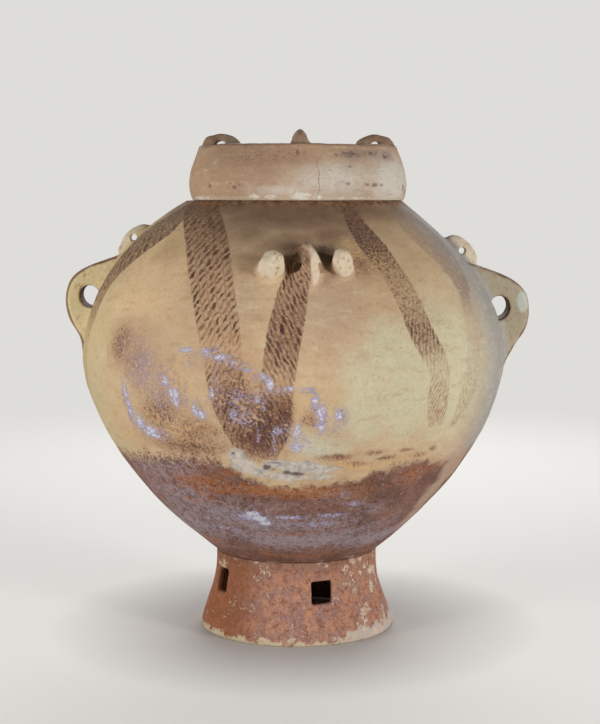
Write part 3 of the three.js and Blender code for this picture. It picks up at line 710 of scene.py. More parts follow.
SALT = (
    (-48, 300, 4, 14, 1.1), (-47.5, 284, 6, 20, 1.15), (-45, 266, 9, 12, 1.15), (-42, 258, 13, 8, 1.35),
    (-40, 252, 8, 4, 1.2), (-31.5, 306, 5, 8, 1.1), (-30.3, 300, 6, 13, 1.25), (-33, 318, 6, 8, 1.1),
    (-25, 289, 5, 9, 1.25), (-23.5, 283, 6, 6, 1.35), (-27, 351, 10, 3, 1.3), (-21.5, 349, 7, 6, 1.2),
    (-17.8, 345, 10, 4, 1.2), (-14.5, 340, 12, 3, 1.0), (-10.5, 333, 10, 3, 1.0), (-7, 327, 5, 5, 1.2),
    (-5.5, 318, 6, 8, 1.2), (-1, 314, 10, 3, 1.1), (3.5, 312, 10, 3, 0.9), (5.5, 300, 4, 10, 1.3),
    (7, 287, 5, 10, 1.5), (7, 272, 6, 8, 1.2), (11.5, 284, 7, 10, 1.0), (12, 272, 5, 6, 0.9),
    (-8.4, 303, 5, 7, 0.9), (-7, 292, 3, 9, 0.8), (-14.8, 284, 5, 9, 1.0), (-11, 290, 5, 5, 0.6),
    (-20, 306, 4, 10, 1.1), (-17, 313, 5, 4, 0.8), (-16, 296, 6, 4, 0.5), (-12, 274, 4, 7, 0.8),
    (-9, 262, 3, 14, 0.8), (-5, 256, 3, 16, 0.9), (-6, 244, 7, 6, 0.5), (-4, 268, 7, 6, 1.0),
    (1, 268, 5, 12, 1.1), (1, 250, 8, 8, 1.2), (-9, 258, 6, 5, 0.5), (-18, 160, 22, 7, 1.1),
    (-15.5, 165, 8, 5, 1.9), (-13.5, 159, 9, 5, 2.0), (-11.5, 153, 8, 4, 1.7), (-2, 162, 24, 4, 1.1),
    (14, 164, 24, 4, 1.0), (20, 178, 16, 5, 0.9), (6, 152, 30, 5, 0.9), (16, 190, 10, 5, 0.7),
    (-30, 140, 30, 5, 0.8), (140, 300, 50, 30, 0.7), (165, 265, 30, 20, 1.0), (205, 310, 40, 25, 0.7),
    (240, 270, 40, 15, 0.9), (120, 180, 50, 20, 0.8), (220, 175, 60, 20, 0.8), (270, 180, 40, 20, 0.8),
)
CEMENT = (
    (-15.6, 238, 10, 10, 1.2), (-14.5, 227, 13, 10, 1.3), (-10, 220, 14, 8, 1.1), (-4, 229, 18, 6, 1.2),
    (2, 226, 22, 8, 1.3), (7, 223, 16, 6, 1.2), (11, 224, 10, 3, 0.9), (-2, 215, 24, 7, 1.1),
    (7, 214, 24, 5, 0.9), (3, 252, 18, 16, 0.7), (7, 246, 16, 10, 0.6), (175, 245, 40, 12, 0.9),
    (182, 232, 30, 8, 0.9),
)
DARK = (
    (-7.5, 225.5, 5, 4, 1.2), (-6, 223.5, 5, 3, 0.9), (-2, 219.5, 6, 3, 1.2), (1, 218, 8, 3, 1.3),
    # The last patch here, up and to the left of the right knob, is painted shade: the shadow that knob
    # casts.
    (-16.5, 241, 3, 3, 0.9), (-6, 240, 12, 6, 0.4), (-6.5, 231, 18, 1.2, 1.0), (11.5, 455, 14, 9, 1.0),
)
MAUVE = (
    (-50, 210, 50, 18, 0.7), (-45, 175, 60, 34, 0.8), (-25, 158, 60, 30, 1.0), (-14, 150, 46, 20, 1.0),
    (10, 152, 46, 16, 0.9), (0, 128, 90, 16, 1.3), (40, 124, 60, 16, 1.2), (-50, 140, 60, 34, 0.9),
    (-38, 218, 34, 14, 0.7), (14, 190, 30, 10, 0.5), (28, 168, 30, 14, 0.5), (120, 150, 90, 40, 0.9),
    (180, 135, 90, 20, 1.1), (240, 160, 80, 40, 0.9), (290, 130, 60, 20, 1.0), (90, 125, 60, 18, 1.1),
)
ORANGE = (
    (4, 194, 44, 9, 1.1), (-10, 197, 26, 8, 1.1), (22, 192, 34, 10, 0.5), (-31, 203, 34, 14, 0.9),
    (-22, 196, 24, 10, 0.8), (50, 214, 22, 12, 0.4), (-31.5, 186, 9, 5, 1.2), (-36, 176, 20, 10, 0.8),
    (40, 207, 18, 12, 0.6), (34, 231, 14, 5, 1.0), (-6, 137, 26, 5, 0.9), (-50, 118, 18, 8, 0.8),
    (-19, 216, 18, 5, 0.6), (110, 200, 60, 12, 0.7), (190, 205, 70, 12, 0.8), (250, 205, 60, 12, 0.7),
    (0, 104, 60, 5, 0.5),
)
BARE = (
    (62, 210, 26, 34, 1.3), (60, 175, 22, 30, 1.2), (62, 145, 18, 26, 1.0), (52, 222, 12, 12, 0.9),
)
LID_SCRATCHED = (
    (-25, 556, 40, 14, 1.0), (-8, 555, 34, 12, 1.0), (-40, 562, 30, 9, 0.8), (-14, 538, 30, 8, 0.5),
)
LID_DARK = ((28, 558, 14, 6, 1.2), (42, 559, 18, 5, 1.1), (55, 556, 14, 6, 1.1), (200, 556, 30, 8, 1.0))
# Paler patches, mostly on the lid's right, made paler partly as painted light.
LID_PALE_AND_LIT = ((20, 530, 60, 22, 0.7), (60, 530, 50, 26, 1.0), (-5, 518, 50, 8, 0.6), (90, 530, 60, 26, 0.8))
LID_SPOTS = (
    (-50, 522.5, 3, 2.5, 1.3), (-36, 525, 3, 2, 1.0), (-33.5, 521, 4, 3, 1.1), (-30.5, 524, 2.5, 2, 1.0),
    (25, 524.5, 3.5, 1.8, 1.2), (36, 524, 5, 1.8, 1.1), (41, 523.5, 6, 2.4, 1.2), (46, 523.5, 4, 2, 1.1),
    (70, 521, 6, 5, 1.0), (76, 516, 5, 5, 1.1), (27, 544, 4, 2, 1.0), (20, 557, 2.5, 2.5, 1.1),
    (-0.5, 559, 2, 5, 1.2), (3, 559, 1.5, 4, 1.0), (-10, 525, 3, 2, 0.7), (130, 530, 6, 3, 1.1),
    (210, 528, 7, 3, 1.1), (250, 550, 5, 3, 1.0),
)
LID_FILLER = (
    (-60, 509, 26, 2.5, 0.9), (-23, 511, 9, 3.5, 1.0), (-14, 510, 10, 3, 0.9), (1, 511, 12, 5, 1.2),
    (9, 510, 10, 3, 0.9), (30, 509, 40, 2, 0.7), (200, 510, 30, 4, 1.0),
)
RED_EDGE = (
    (-180, 222), (-120, 226), (-75, 222), (-60, 224), (-44, 229), (-30, 233), (-22, 232), (-17, 222),
    (-14, 211), (-8, 203), (1, 202), (6, 204), (15, 205), (19, 210), (24, 216), (30, 221), (37, 224),
    (45, 222), (75, 224), (120, 222), (180, 222),
)
JAR_PATCHES = {
    "tone": (SHOULDER_SHADE_AND_DIRT, GREEN, PINK), "stain": (OCHRE, LILAC, BROWN), "marks": (SALT, CEMENT, DARK),
    "lower": (MAUVE, ORANGE, BARE),
}
LID_PATCHES = {"tone": (LID_SCRATCHED, LID_DARK, LID_PALE_AND_LIT), "marks": (LID_SPOTS, LID_FILLER, ())}


def patches(points, places):
    """A field that rises to a patch's strength in its middle."""
    total = np.zeros(len(points))
    for azimuth, height, half_width, half_height, strength in places:
        radius = float(radius_at(height))
        lean = float(lean_at(height))
        angle = math.radians(azimuth)
        outward = np.array([math.sin(angle), -math.cos(angle), 0])
        sideways = np.array([math.cos(angle), math.sin(angle), 0])
        up = (outward * lean + (0, 0, 1)) / math.hypot(1, lean)
        out = (outward - (0, 0, lean)) / math.hypot(1, lean)
        away = points - (outward * radius + (0, 0, height))
        squared = (away @ sideways / half_width) ** 2 + (away @ up / half_height) ** 2
        squared += (away @ out / max(half_width, 15.0)) ** 2
        facing = points @ outward > 0
        total = np.maximum(total, strength * np.exp(-0.7 * squared) * facing)
    return total


def places_on_pot(points, body, painted, parts, cover):
    """What the materials read at every point of the true shape. In the zone field, the distance below the
    edge of the red slip and the height are in decimetres, and the azimuth in hundreds of degrees."""
    azimuth = np.degrees(np.arctan2(points[:, 0], -points[:, 1]))
    height = points[:, 2]
    edge = np.interp(azimuth, *np.array(RED_EDGE, float).T)
    below = np.clip((edge - height) / 100, -1, 3)
    fields = {"zone": np.stack([below, height / 100, azimuth / 100], 1)}
    for name, lists in (LID_PATCHES if body == "lid" else JAR_PATCHES).items():
        fields[name] = np.stack([patches(points, places) for places in lists], 1)
    if body == "jar":
        for name, bands in (("falling", FALLING_BANDS), ("rising", RISING_BANDS)):
            place, look = band_places(azimuth, height, bands)
            fields[name] = place
            fields[name + "_look"] = look * painted
        fields["parts"] = parts if parts is not None else np.zeros((len(points), 3))
        fields["cover"] = cover if cover is not None else np.zeros((len(points), 3))
    return fields


# Materials

BUMP_STRENGTH = 0.35
BUMP_DEPTH = 0.6


def srgb(red, green, blue):
    """The scene's linear colour for levels of 0 to 255."""

    def linear(value):
        value /= 255
        return value / 12.92 if value <= 0.04045 else ((value + 0.055) / 1.055) ** 2.4

    return (linear(red), linear(green), linear(blue), 1.0)


class Field:
    """What a node works out. Fields and numbers can be added, subtracted and multiplied."""

    def __init__(self, nodes, socket):
        self.nodes = nodes
        self.socket = socket

    def __add__(self, other):
        return self.nodes.math("ADD", self, other)

    def __sub__(self, other):
        return self.nodes.math("SUBTRACT", self, other)

    def __rsub__(self, other):
        return self.nodes.math("SUBTRACT", other, self)

    def __mul__(self, other):
        return self.nodes.math("MULTIPLY", self, other)

    __radd__ = __add__
    __rmul__ = __mul__


class Nodes:
    """A node tree under construction. Its methods add nodes and give back what these work out."""

    def __init__(self, tree):
        self.tree = tree

    def connect(self, node, inputs):
        """Sets each input of a node to a value, or links it to a field."""
        for key, value in inputs.items():
            if isinstance(value, Field):
                self.tree.links.new(value.socket, node.inputs[key])
            else:
                node.inputs[key].default_value = value

    def node(self, kind, inputs, output=0, **settings):
        node = self.tree.nodes.new(kind)
        for key, value in settings.items():
            setattr(node, key, value)
        self.connect(node, inputs)
        return Field(self, node.outputs[output])

    def given(self, name, inputs):
        """A node that the tree has from the start."""
        node = self.tree.nodes[name]
        self.connect(node, inputs)
        return Field(self, node.outputs[0])

    def math(self, operation, a, b=0.0):
        return self.node("ShaderNodeMath", {0: a, 1: b}, operation=operation)

    def size(self, value):
        return self.math("ABSOLUTE", value)

    def most(self, a, b):
        return self.math("MAXIMUM", a, b)

    def step(self, value, start, end):
        """Rises smoothly from 0 to 1 as the value goes from start to end."""
        inputs = {0: value, 1: start, 2: end, 3: 0.0, 4: 1.0}
        return self.node("ShaderNodeMapRange", inputs, interpolation_type="SMOOTHSTEP")

    def between(self, value, low, full_from, full_to, high):
        """Rises smoothly from 0 to 1 and falls back to 0 further on."""
        return self.step(value, low, full_from) * self.step(value, high, full_to)

    def slope(self, value, start, end, low, high):
        """Goes evenly from low to high as the value goes from start to end."""
        return self.node("ShaderNodeMapRange", {0: value, 1: start, 2: end, 3: low, 4: high})

    def split(self, vector):
        node = self.tree.nodes.new("ShaderNodeSeparateXYZ")
        self.connect(node, {0: vector})
        return [Field(self, socket) for socket in node.outputs]

    def length(self, vector):
        return self.node("ShaderNodeVectorMath", {0: vector}, "Value", operation="LENGTH")

    def blend(self, share, first, second):
        """A shader that goes from the first to the second."""
        return self.node("ShaderNodeMixShader", {0: share, 1: first, 2: second})

    def seen(self):
        """1 for what the camera sees directly, in a reflection or through glass, and 0 for light."""
        path = self.tree.nodes.new("ShaderNodeLightPath")
        camera, glossy, clear = [
            Field(self, path.outputs[f"Is {kind} Ray"]) for kind in ("Camera", "Glossy", "Transmission")
        ]
        return self.most(self.most(camera, glossy), clear)


class Clay(Nodes):
    """A material of the pot. Its colours are fields, or red, green and blue levels of 0 to 255."""

    def __init__(self, name):
        self.material = bpy.data.materials.new(name)
        self.material.use_nodes = True
        super().__init__(self.material.node_tree)
        self.tree.nodes.clear()
        self.place = self.node("ShaderNodeTexCoord", {}, "Object")

    def three(self, name):
        """The three values of a field that the mesh carries."""
        return self.split(self.node("ShaderNodeAttribute", {}, "Vector", attribute_name=name))

    def stretched(self, factor):
        """The place, with its height multiplied."""
        return self.node("ShaderNodeVectorMath", {0: self.place, 1: (1, 1, factor)}, operation="MULTIPLY")

    def noise(self, size, detail, roughness=0.55, flatness=None):
        """Blotches of about that many millimetres, wider than high where a flatness is given."""
        inputs = {
            "Vector": self.stretched(flatness) if flatness else self.place,
            "Scale": 1 / (size * MM),
            "Detail": detail,
            "Roughness": roughness,
        }
        return self.node("ShaderNodeTexNoise", inputs, "Fac")

    def mix(self, share, first, second):
        """A colour that goes from the first to the second."""
        first, second = [c if isinstance(c, Field) else srgb(*c) for c in (first, second)]
        return self.node("ShaderNodeMix", {0: share, 6: first, 7: second}, 2, data_type="RGBA")

    def layers(self, color, *coats):
        """A colour with coats over it, each given as its share and its own colour."""
        for share, coat in coats:
            color = self.mix(share, color, coat)
        return color

    def mix_values(self, share, low, high):
        return low + share * (high - low)

    def area(self, field, noise, spread, start, end, strength):
        """Where a field is high, with an edge made ragged by a noise."""
        return self.step(field + (noise - 0.5) * spread, start, end) * strength

    def specks(self, field, noise, start, strength):
        """Specks cut out of a noise, the more of them the higher a field is."""
        cut = self.step(noise + field * 0.3, start, start + 0.07)
        return cut * self.step(field, 0.02, 0.25) * strength

    def finish(self, color, small, fine, grain, relief):
        """The material: its colour shaded by pits and dust, on a matt surface with some relief."""
        tone = fine * 0.34 + (grain * 0.3 + small * 0.24)
        shaded = self.node("ShaderNodeVectorMath", {0: color, "Scale": tone + 0.56}, operation="SCALE")
        bump_inputs = {"Strength": BUMP_STRENGTH, "Distance": BUMP_DEPTH * MM, "Height": relief}
        inputs = {
            "Base Color": shaded,
            "Roughness": fine * 0.2 + 0.68,
            "Specular IOR Level": 0.22,
            "Normal": self.node("ShaderNodeBump", bump_inputs),
        }
        shader = self.node("ShaderNodeBsdfPrincipled", inputs)
        self.connect(self.tree.nodes.new("ShaderNodeOutputMaterial"), {0: shader})
        return self.material


DAB_SPACING = 8.8


def strokes(clay, name, lanes, slant, soft):
    """Shares of the dark cores of a band's dabs, and of its dabs, lane lines, tint, wash and dots."""
    across, along, margin = clay.three(name)
    dabs, wash, dots = clay.three(name + "_look")
    rough = clay.noise(2.2, 3, 0.7)
    lane = across * lanes + (clay.noise(30, 2) - 0.5) * 0.6
    row = clay.math("FLOOR", lane)
    place = clay.math("FRACT", lane)
    shake = (clay.noise(12, 3) - 0.5) * 1.5
    phase = along * (1 / DAB_SPACING) + place * slant
    phase = phase + shake + row * 0.37
    number = clay.math("FLOOR", phase)
    seed = clay.node("ShaderNodeCombineXYZ", {0: row, 1: number})
    chance = clay.node("ShaderNodeTexWhiteNoise", {"Vector": seed}, "Value")
    from_middle = clay.size(clay.math("FRACT", phase) - 0.5)
    belly = clay.math("SINE", place * math.pi)
    half = belly * (chance * 0.16 + 0.2)
    half = half + wash * 0.16
    depth = half - from_middle + (rough - 0.5) * 0.5
    solid = clay.step(depth, -0.06, 0.08)
    clumps = clay.noise(11, 3, 0.6)
    faint = clay.step(clumps, 0.36, 0.6) + clay.math("FRACT", chance * 7.3) * 0.4
    faint = 0.4 + faint * 0.5
    worn = clay.noise(5, 3, 0.7)
    left = dabs * clay.step(worn + dabs * 0.14, 0.42, 0.56)
    dab = solid * faint * left
    core = clay.step(depth, 0.0, 0.16) * faint
    line = clay.step(clay.size(place - 0.5), 0.37, 0.47)
    line = line * left * clay.step(rough, 0.3, 0.5)
    speckle = 0.3 + clay.step(clay.noise(2.8, 3, 0.8), 0.36, 0.6) * 0.9
    wash = wash * (speckle * (0.4 + clay.noise(9, 4, 0.7) * 1.2))
    blots = clay.noise(3.0, 3, 0.7) + dots * 0.13
    dot = clay.step(blots, 0.53, 0.7) * clay.step(dots, 0, 0.3)
    fade = 1.2 + soft * 7.0
    inside = clay.step(margin + (worn - 0.5) * 5, -0.6, fade)
    tint = dabs * inside * clay.step(worn, 0.3, 0.6)
    shares = (dab, line, tint, wash, dot)
    return (core, [share * inside for share in shares])


def jar_clay(name):
    """The slip, paint, salts and wear of everything below the lid, with some painted light and shade, coat
    by coat from the wall outwards.
    """
    clay = Clay(name)
    shade_and_dirt, green, pink = clay.three("tone")
    ochre, lilac, brown = clay.three("stain")
    salt, cement, dark = clay.three("marks")
    mauve, orange, bare = clay.three("lower")
    below, height, turn = clay.three("zone")
    rim, hole, mend = clay.three("parts")
    cream, yellow_and_light, crest = clay.three("cover")
    large = clay.noise(70, 2)
    broad = clay.noise(34, 4, 0.6)
    middle = clay.noise(17, 4, 0.6)
    small = clay.noise(8, 4, 0.7)
    fine = clay.noise(4.5, 4, 0.65)
    grit = clay.noise(2.6, 3, 0.7)
    grain = clay.noise(1.3, 2)
    pores = clay.noise(3.3, 2)
    dust = clay.noise(3.1, 3, 0.75, 1.2)
    mottle = clay.noise(6, 4, 0.75, 0.6)
    wipes = clay.noise(24, 5, 0.65, 3)
    streaks = clay.noise(16, 5, 0.75, 2.4)
    vein = 1.0 - clay.size(clay.noise(14, 5, 0.65) - 0.5) * 12.0
    vein = clay.most(vein, 0.0)

    # Pale slip
    color = clay.mix(clay.step(large, 0.35, 0.65), (212, 184, 146), (204, 170, 134))
    color = clay.layers(
        color,
        (clay.area(pink, middle, 0.5, 0.1, 0.9, 0.9), (196, 166, 138)),
        (clay.area(green, middle, 0.6, 0.15, 0.85, 0.95), (207, 198, 165)),
    )
    left_limb = clay.between(turn, -1.3, -1.0, -0.7, -0.4)
    color = clay.mix(left_limb * 0.75, color, (212, 190, 144))
    left_low = left_limb * clay.step(height, 3.6, 3.0)
    color = clay.mix(left_low * 0.5, color, (184, 168, 134))
    left_high = clay.between(turn, -0.66, -0.54, -0.36, -0.26)
    left_high = left_high * clay.step(height, 3.6, 4.0)
    color = clay.mix(left_high * 0.7, color, (236, 202, 156))
    # Painted shade: the slip darker and greyer towards the right edge.
    right_edge_shade = clay.between(turn, 0.48, 0.72, 0.95, 1.2)
    color = clay.layers(
        color,
        (right_edge_shade, (168, 163, 156)),
        (clay.step(wipes, 0.52, 0.72) * 0.45, (178, 140, 106)),
        (clay.step(wipes, 0.48, 0.3) * 0.4, (220, 204, 168)),
        (clay.step(small, 0.56, 0.7) * 0.25, (168, 130, 98)),
    )
    # Painted shade, with some dirt: the top of the shoulder made darker brown.
    shade_and_dirt_color = clay.mix(small, (110, 84, 66), (136, 108, 86))
    color = clay.layers(
        color,
        (clay.area(shade_and_dirt, broad, 0.4, 0.0, 1.0, 0.95), shade_and_dirt_color),
        (clay.specks(clay.step(broad, 0.4, 0.65), pores, 0.93, 0.5), (132, 92, 66)),
    )

    # Stains
    ochre_color = clay.mix(clay.step(fine, 0.42, 0.58), (212, 178, 132), (190, 156, 122))
    color = clay.layers(
        color,
        (clay.area(ochre, middle, 0.9, 0.2, 0.9, 0.7), ochre_color),
        (clay.area(brown, small, 1.2, 0.15, 1.0, 0.6), (160, 112, 84)),
        (clay.area(lilac, fine, 1.8, 0.3, 1.2, 0.6), (162, 140, 136)),
    )

    # Painted bands
    grey = clay.between(turn, 0.42, 0.46, 1.1, 1.5)
    warm = clay.between(turn, 0.14, 0.18, 0.42, 0.46)
    wash_color = clay.mix(warm, (88, 66, 56), (146, 108, 78))
    wash_color = clay.mix(grey, wash_color, (134, 118, 112))
    for band, lanes, slant in (("falling", 5.0, 1.3), ("rising", 4.0, -1.5)):
        core, (dab, line, tint, wash, dot) = strokes(clay, band, lanes, slant, grey)
        color = clay.layers(
            color,
            (tint * 0.5, (194, 148, 110)),
            (wash * 0.9, wash_color),
            (line * 0.55, (146, 98, 76)),
        )
        dab_color = clay.mix(core, (136, 94, 72), clay.mix(small, (58, 40, 38), (98, 66, 56)))
        dab_color = clay.mix(grey * 0.6, dab_color, (150, 122, 114))
        color = clay.mix(dab * 0.95, color, dab_color)
        dot_color = clay.mix(clay.step(fine, 0.4, 0.6), (72, 56, 58), (106, 78, 70))
        dot_color = clay.mix(grey, dot_color, (140, 112, 104))
        color = clay.mix(dot * 0.8, color, dot_color)

    # Weathered ring under the lid, darkened also as painted shade under the lid's rim
    under_lid = height * 10 + (middle - 0.5) * 1.6
    # Partly painted shade: the ring is darker where the lid's rim shades the shoulder.
    weathered_and_shaded_ring_color = clay.mix(clay.step(small, 0.4, 0.6), (84, 58, 44), (152, 110, 72))
    weathered_and_shaded_ring_color = clay.mix(clay.step(fine, 0.62, 0.7), weathered_and_shaded_ring_color, (196, 152, 104))
    color = clay.mix(clay.step(under_lid, 49.8, 50.5) * 0.85, color, weathered_and_shaded_ring_color)

    # Grain of the stains, over the paint as well
    stained = clay.most(brown, lilac * 0.7)
    grain_color = clay.mix(clay.step(small, 0.4, 0.6), (82, 56, 54), (118, 80, 62))
    color = clay.layers(
        color,
        (clay.area(brown, mottle, 3.2, 0.7, 1.5, 0.75), grain_color),
        (clay.specks(stained, grit, 0.75, 0.8), grain_color),
        (clay.specks(clay.most(ochre, lilac), pores, 0.79, 0.7), (220, 182, 132)),
        (clay.specks(lilac, dust, 0.76, 0.7), (154, 140, 166)),
    )

    # Grey-white filler and the dark spots in it, and painted shade beside the front lug
    filler_color = clay.mix(clay.step(small, 0.4, 0.65), (216, 208, 194), (172, 162, 158))
    ragged = (small + fine) * 0.5
    color = clay.layers(
        color,
        (clay.area(cement, ragged, 1.8, 0.3, 0.9, 0.92), filler_color),
        (clay.area(dark, fine, 1.8, 0.4, 1.1, 0.85), (86, 70, 68)),
    )

    # Red slip below, its colours made darker partly as painted shade on the underside
    red_edge = below * 100 + (middle - 0.5) * 26
    red_edge = red_edge + (small - 0.5) * 22
    left_side = clay.between(turn, -1.7, -1.2, -0.3, -0.12)
    red_edge = red_edge + (grit - 0.5) * clay.mix_values(left_side, 8.0, 50.0)
    red_share = clay.step(red_edge, -5, clay.mix_values(left_side, 6.0, 9.0))
    red = clay.mix(clay.step(broad, 0.38, 0.62), (116, 84, 72), (144, 106, 92))
    red = clay.layers(
        red,
        (clay.specks(orange + 0.35, small, 0.7, 0.75), (166, 104, 66)),
        (clay.area(orange, small, 1.0, 0.3, 1.0, 0.8), (152, 92, 54)),
        (clay.specks(orange + 0.2, fine, 0.76, 0.5), (178, 124, 84)),
        (clay.area(mauve, streaks, 2.4, 0.4, 1.3, 0.75), (162, 148, 154)),
        (clay.specks(mauve + 0.1, dust, 0.8, 0.7), (168, 150, 152)),
        (vein * clay.step(mauve, 0.0, 0.7) * 0.6, (176, 160, 166)),
        (clay.step(fine, 0.42, 0.3) * 0.4, (84, 56, 48)),
        (clay.specks(clay.step(small, 0.35, 0.6), grit, 0.79, 0.75), (76, 50, 44)),
        (clay.specks(clay.step(small, 0.6, 0.4), pores, 0.87, 0.6), (192, 166, 150)),
    )

    # Foot
    waist = height + (small - 0.5) * 0.22
    foot_share = clay.step(waist, 1.02, 0.84)
    foot_color = clay.mix(clay.step(middle, 0.42, 0.58), (186, 132, 104), (154, 116, 106))
    foot_color = clay.layers(
        foot_color,
        (clay.step(streaks, 0.5, 0.66) * 0.6, (148, 120, 116)),
        (clay.step(small, 0.5, 0.62) * 0.65, (126, 80, 58)),
        (clay.step(small, 0.46, 0.34) * 0.5, (194, 150, 124)),
        (clay.step(grit, 0.52, 0.64) * 0.6, (104, 66, 52)),
        (clay.step(dust, 0.54, 0.66) * 0.5, (198, 160, 136)),
    )
    foot_left = clay.between(turn, -1.7, -1.2, -0.45, -0.15)
    foot_left = foot_left * (0.35 + small * 0.8)
    foot_color = clay.layers(
        foot_color,
        (foot_left, (136, 78, 38)),
        # Painted shade: the top of the foot, under the bowl, darker.
        (clay.step(height, 0.6, 0.9) * 0.35, (112, 76, 60)),
    )
    red = clay.mix(foot_share, red, foot_color)
    # Painted shade in the crease at the waist, under the bowl.
    waist_crease_shade = clay.between(waist, 0.9, 0.96, 0.97, 1.05)
    red = clay.layers(
        red,
        (waist_crease_shade * 0.25, (110, 78, 64)),
        (clay.area(bare, middle, 0.8, 0.35, 0.9, 0.85), (186, 158, 134)),
    )
    color = clay.mix(red_share, color, red)

    # Salts
    veined = salt + vein * (salt * 0.5)
    color = clay.layers(
        color,
        (clay.area(salt, dust, 3.0, 0.4, 1.8, 0.5), (180, 168, 182)),
        (clay.specks(veined, dust, 0.76, 0.75), (168, 162, 196)),
        (clay.area(salt, ragged, 7.0, 1.1, 3.4, 0.6), (204, 202, 212)),
        (clay.specks(veined - 0.3, grit, 0.8, 0.85), (222, 220, 228)),
    )

    # Worn pale edge and specks of the foot
    edge = height * 100 + (clay.noise(20, 5, 0.7) - 0.5) * 44
    right_foot = clay.between(turn, 0.1, 0.5, 1.2, 1.7)
    edge = edge - right_foot * 9
    edge_color = clay.mix(right_foot, (196, 178, 148), (196, 182, 172))
    edge_color = clay.mix(clay.step(small, 0.5, 0.7), edge_color, (170, 140, 116))
    color = clay.mix(clay.step(edge, 6.5, 3.5), color, edge_color)
    right_side = clay.between(turn, 0.05, 0.5, 0.6, 1.0)
    clusters = clay.step(middle, 0.44, 0.66) + right_side * 0.5
    clusters = clusters + clay.step(height, 0.5, 0.9) * 0.35
    flecks = clay.specks(clusters, grit, 0.83, 0.75) * foot_share
    color = clay.mix(flecks, color, (212, 184, 158))
    flakes = clay.specks(clusters, fine, 0.9, 0.8) * foot_share
    color = clay.mix(flakes, color, (214, 192, 168))

    # Knobs, lugs and handles
    # The handles' yellow-cream slip, painted lighter on the left handle and darker on the right as painted
    # light and shade.
    yellow_and_light_color = clay.mix(clay.step(yellow_and_light, 0.5, 1.0), (178, 164, 140), (230, 210, 160))
    cream_color = clay.mix(clay.step(yellow_and_light, 0.0, 0.4), (226, 208, 180), yellow_and_light_color)
    cream_color = clay.layers(
        cream_color,
        (clay.step(small, 0.52, 0.66) * 0.6, (160, 126, 98)),
        (clay.step(small, 0.44, 0.3) * 0.5, (220, 212, 196)),
    )
    color = clay.layers(
        color,
        (clay.area(cream, fine, 0.4, 0.2, 0.9, 0.92), cream_color),
        # Painted highlight along the front lug's crest.
        (crest * 0.8, (230, 216, 196)),
        (clay.area(rim, middle, 1.6, 0.25, 0.85, 0.85), (122, 86, 68)),
        # Dark red-brown inside and round the handles' holes.
        (clay.area(hole, fine, 0.8, 0.3, 0.9, 0.9), (88, 46, 30)),
        (mend, (204, 206, 194)),
    )

    relief = middle * 0.8 + (fine * 0.7 + grit * 0.4)
    return clay.finish(color, small, fine, grain, relief)


CRACK_AZIMUTH = 0.098


def lid_clay(name):
    """The plain clay of the lid, with its scratches, dark spots, filler and crack, and paler patches on
    its right that are partly painted light.
    """
    clay = Clay(name)
    scratched, dark, pale = clay.three("tone")
    spots, filler, _ = clay.three("marks")
    _, height, turn = clay.three("zone")
    large = clay.noise(45, 3)
    middle = clay.noise(14, 4, 0.6)
    small = clay.noise(7, 4, 0.7)
    fine = clay.noise(3.6, 4, 0.7)
    grain = clay.noise(1.3, 2)
    wipes = clay.noise(16, 5, 0.65, 4)
    lines = clay.noise(5, 4, 0.7, 3)
    color = clay.mix(clay.step(large, 0.35, 0.65), (186, 154, 123), (178, 146, 118))
    color = clay.layers(
        color,
        # Paler patches on the lid's right, partly painted light.
        (clay.area(pale, middle, 0.5, 0.1, 0.9, 0.9), (214, 207, 194)),
        (clay.step(wipes, 0.52, 0.7) * 0.45, (162, 132, 110)),
        (clay.step(wipes, 0.46, 0.3) * 0.45, (214, 198, 170)),
        (clay.step(small, 0.58, 0.7) * 0.3, (150, 118, 98)),
        (clay.area(scratched, middle, 0.7, 0.1, 0.9, 0.6), (158, 124, 100)),
        (clay.specks(scratched, lines, 0.8, 0.6), (118, 88, 72)),
        (clay.specks(scratched, grain, 0.84, 0.4), (206, 180, 152)),
        (clay.area(dark, middle, 0.8, 0.1, 0.9, 0.45), (146, 126, 118)),
        (clay.specks(dark, lines, 0.78, 0.8), (96, 80, 80)),
        (clay.area(spots, fine, 1.2, 0.5, 1.0, 0.75), (122, 92, 86)),
        (clay.area(filler, fine, 1.6, 0.4, 1.0, 0.9), (222, 216, 202)),
    )
    low_edge = height + (small - 0.5) * 0.12
    color = clay.mix(clay.step(low_edge, 5.13, 5.09) * 0.4, color, (208, 196, 174))
    high_edge = height + (small - 0.5) * 0.16
    color = clay.mix(clay.step(high_edge, 5.64, 5.7) * 0.5, color, (132, 102, 84))
    from_axis = clay.length(clay.stretched(0))
    on_top = clay.step(from_axis, 90 * MM, 80 * MM) * clay.step(height, 5.6, 5.65)
    top_color = clay.mix(clay.step(middle, 0.4, 0.6), (206, 182, 150), (184, 154, 124))
    color = clay.mix(on_top * 0.8, color, top_color)
    drift = (clay.noise(16, 4, 0.6) - 0.5) * 0.05
    crack = clay.size(turn + drift - CRACK_AZIMUTH)
    crack = clay.step(crack, 0.0032, 0.0006) * clay.step(height + drift, 5.52, 5.46)
    crack = crack * clay.step(fine, 0.35, 0.5)
    color = clay.mix(crack * 0.55, color, (112, 84, 66))
    relief = middle * 0.8 + (fine * 0.7 + grain * 0.25)
    relief = relief - crack * 0.8
    return clay.finish(color, small, fine, grain, relief)


MATERIALS = {
    "red_slip": jar_clay("red_slip_clay"),
    "painted_slip": jar_clay("painted_slip_clay"),
    "lid_clay": lid_clay("lid_clay"),
}


# Making the pieces


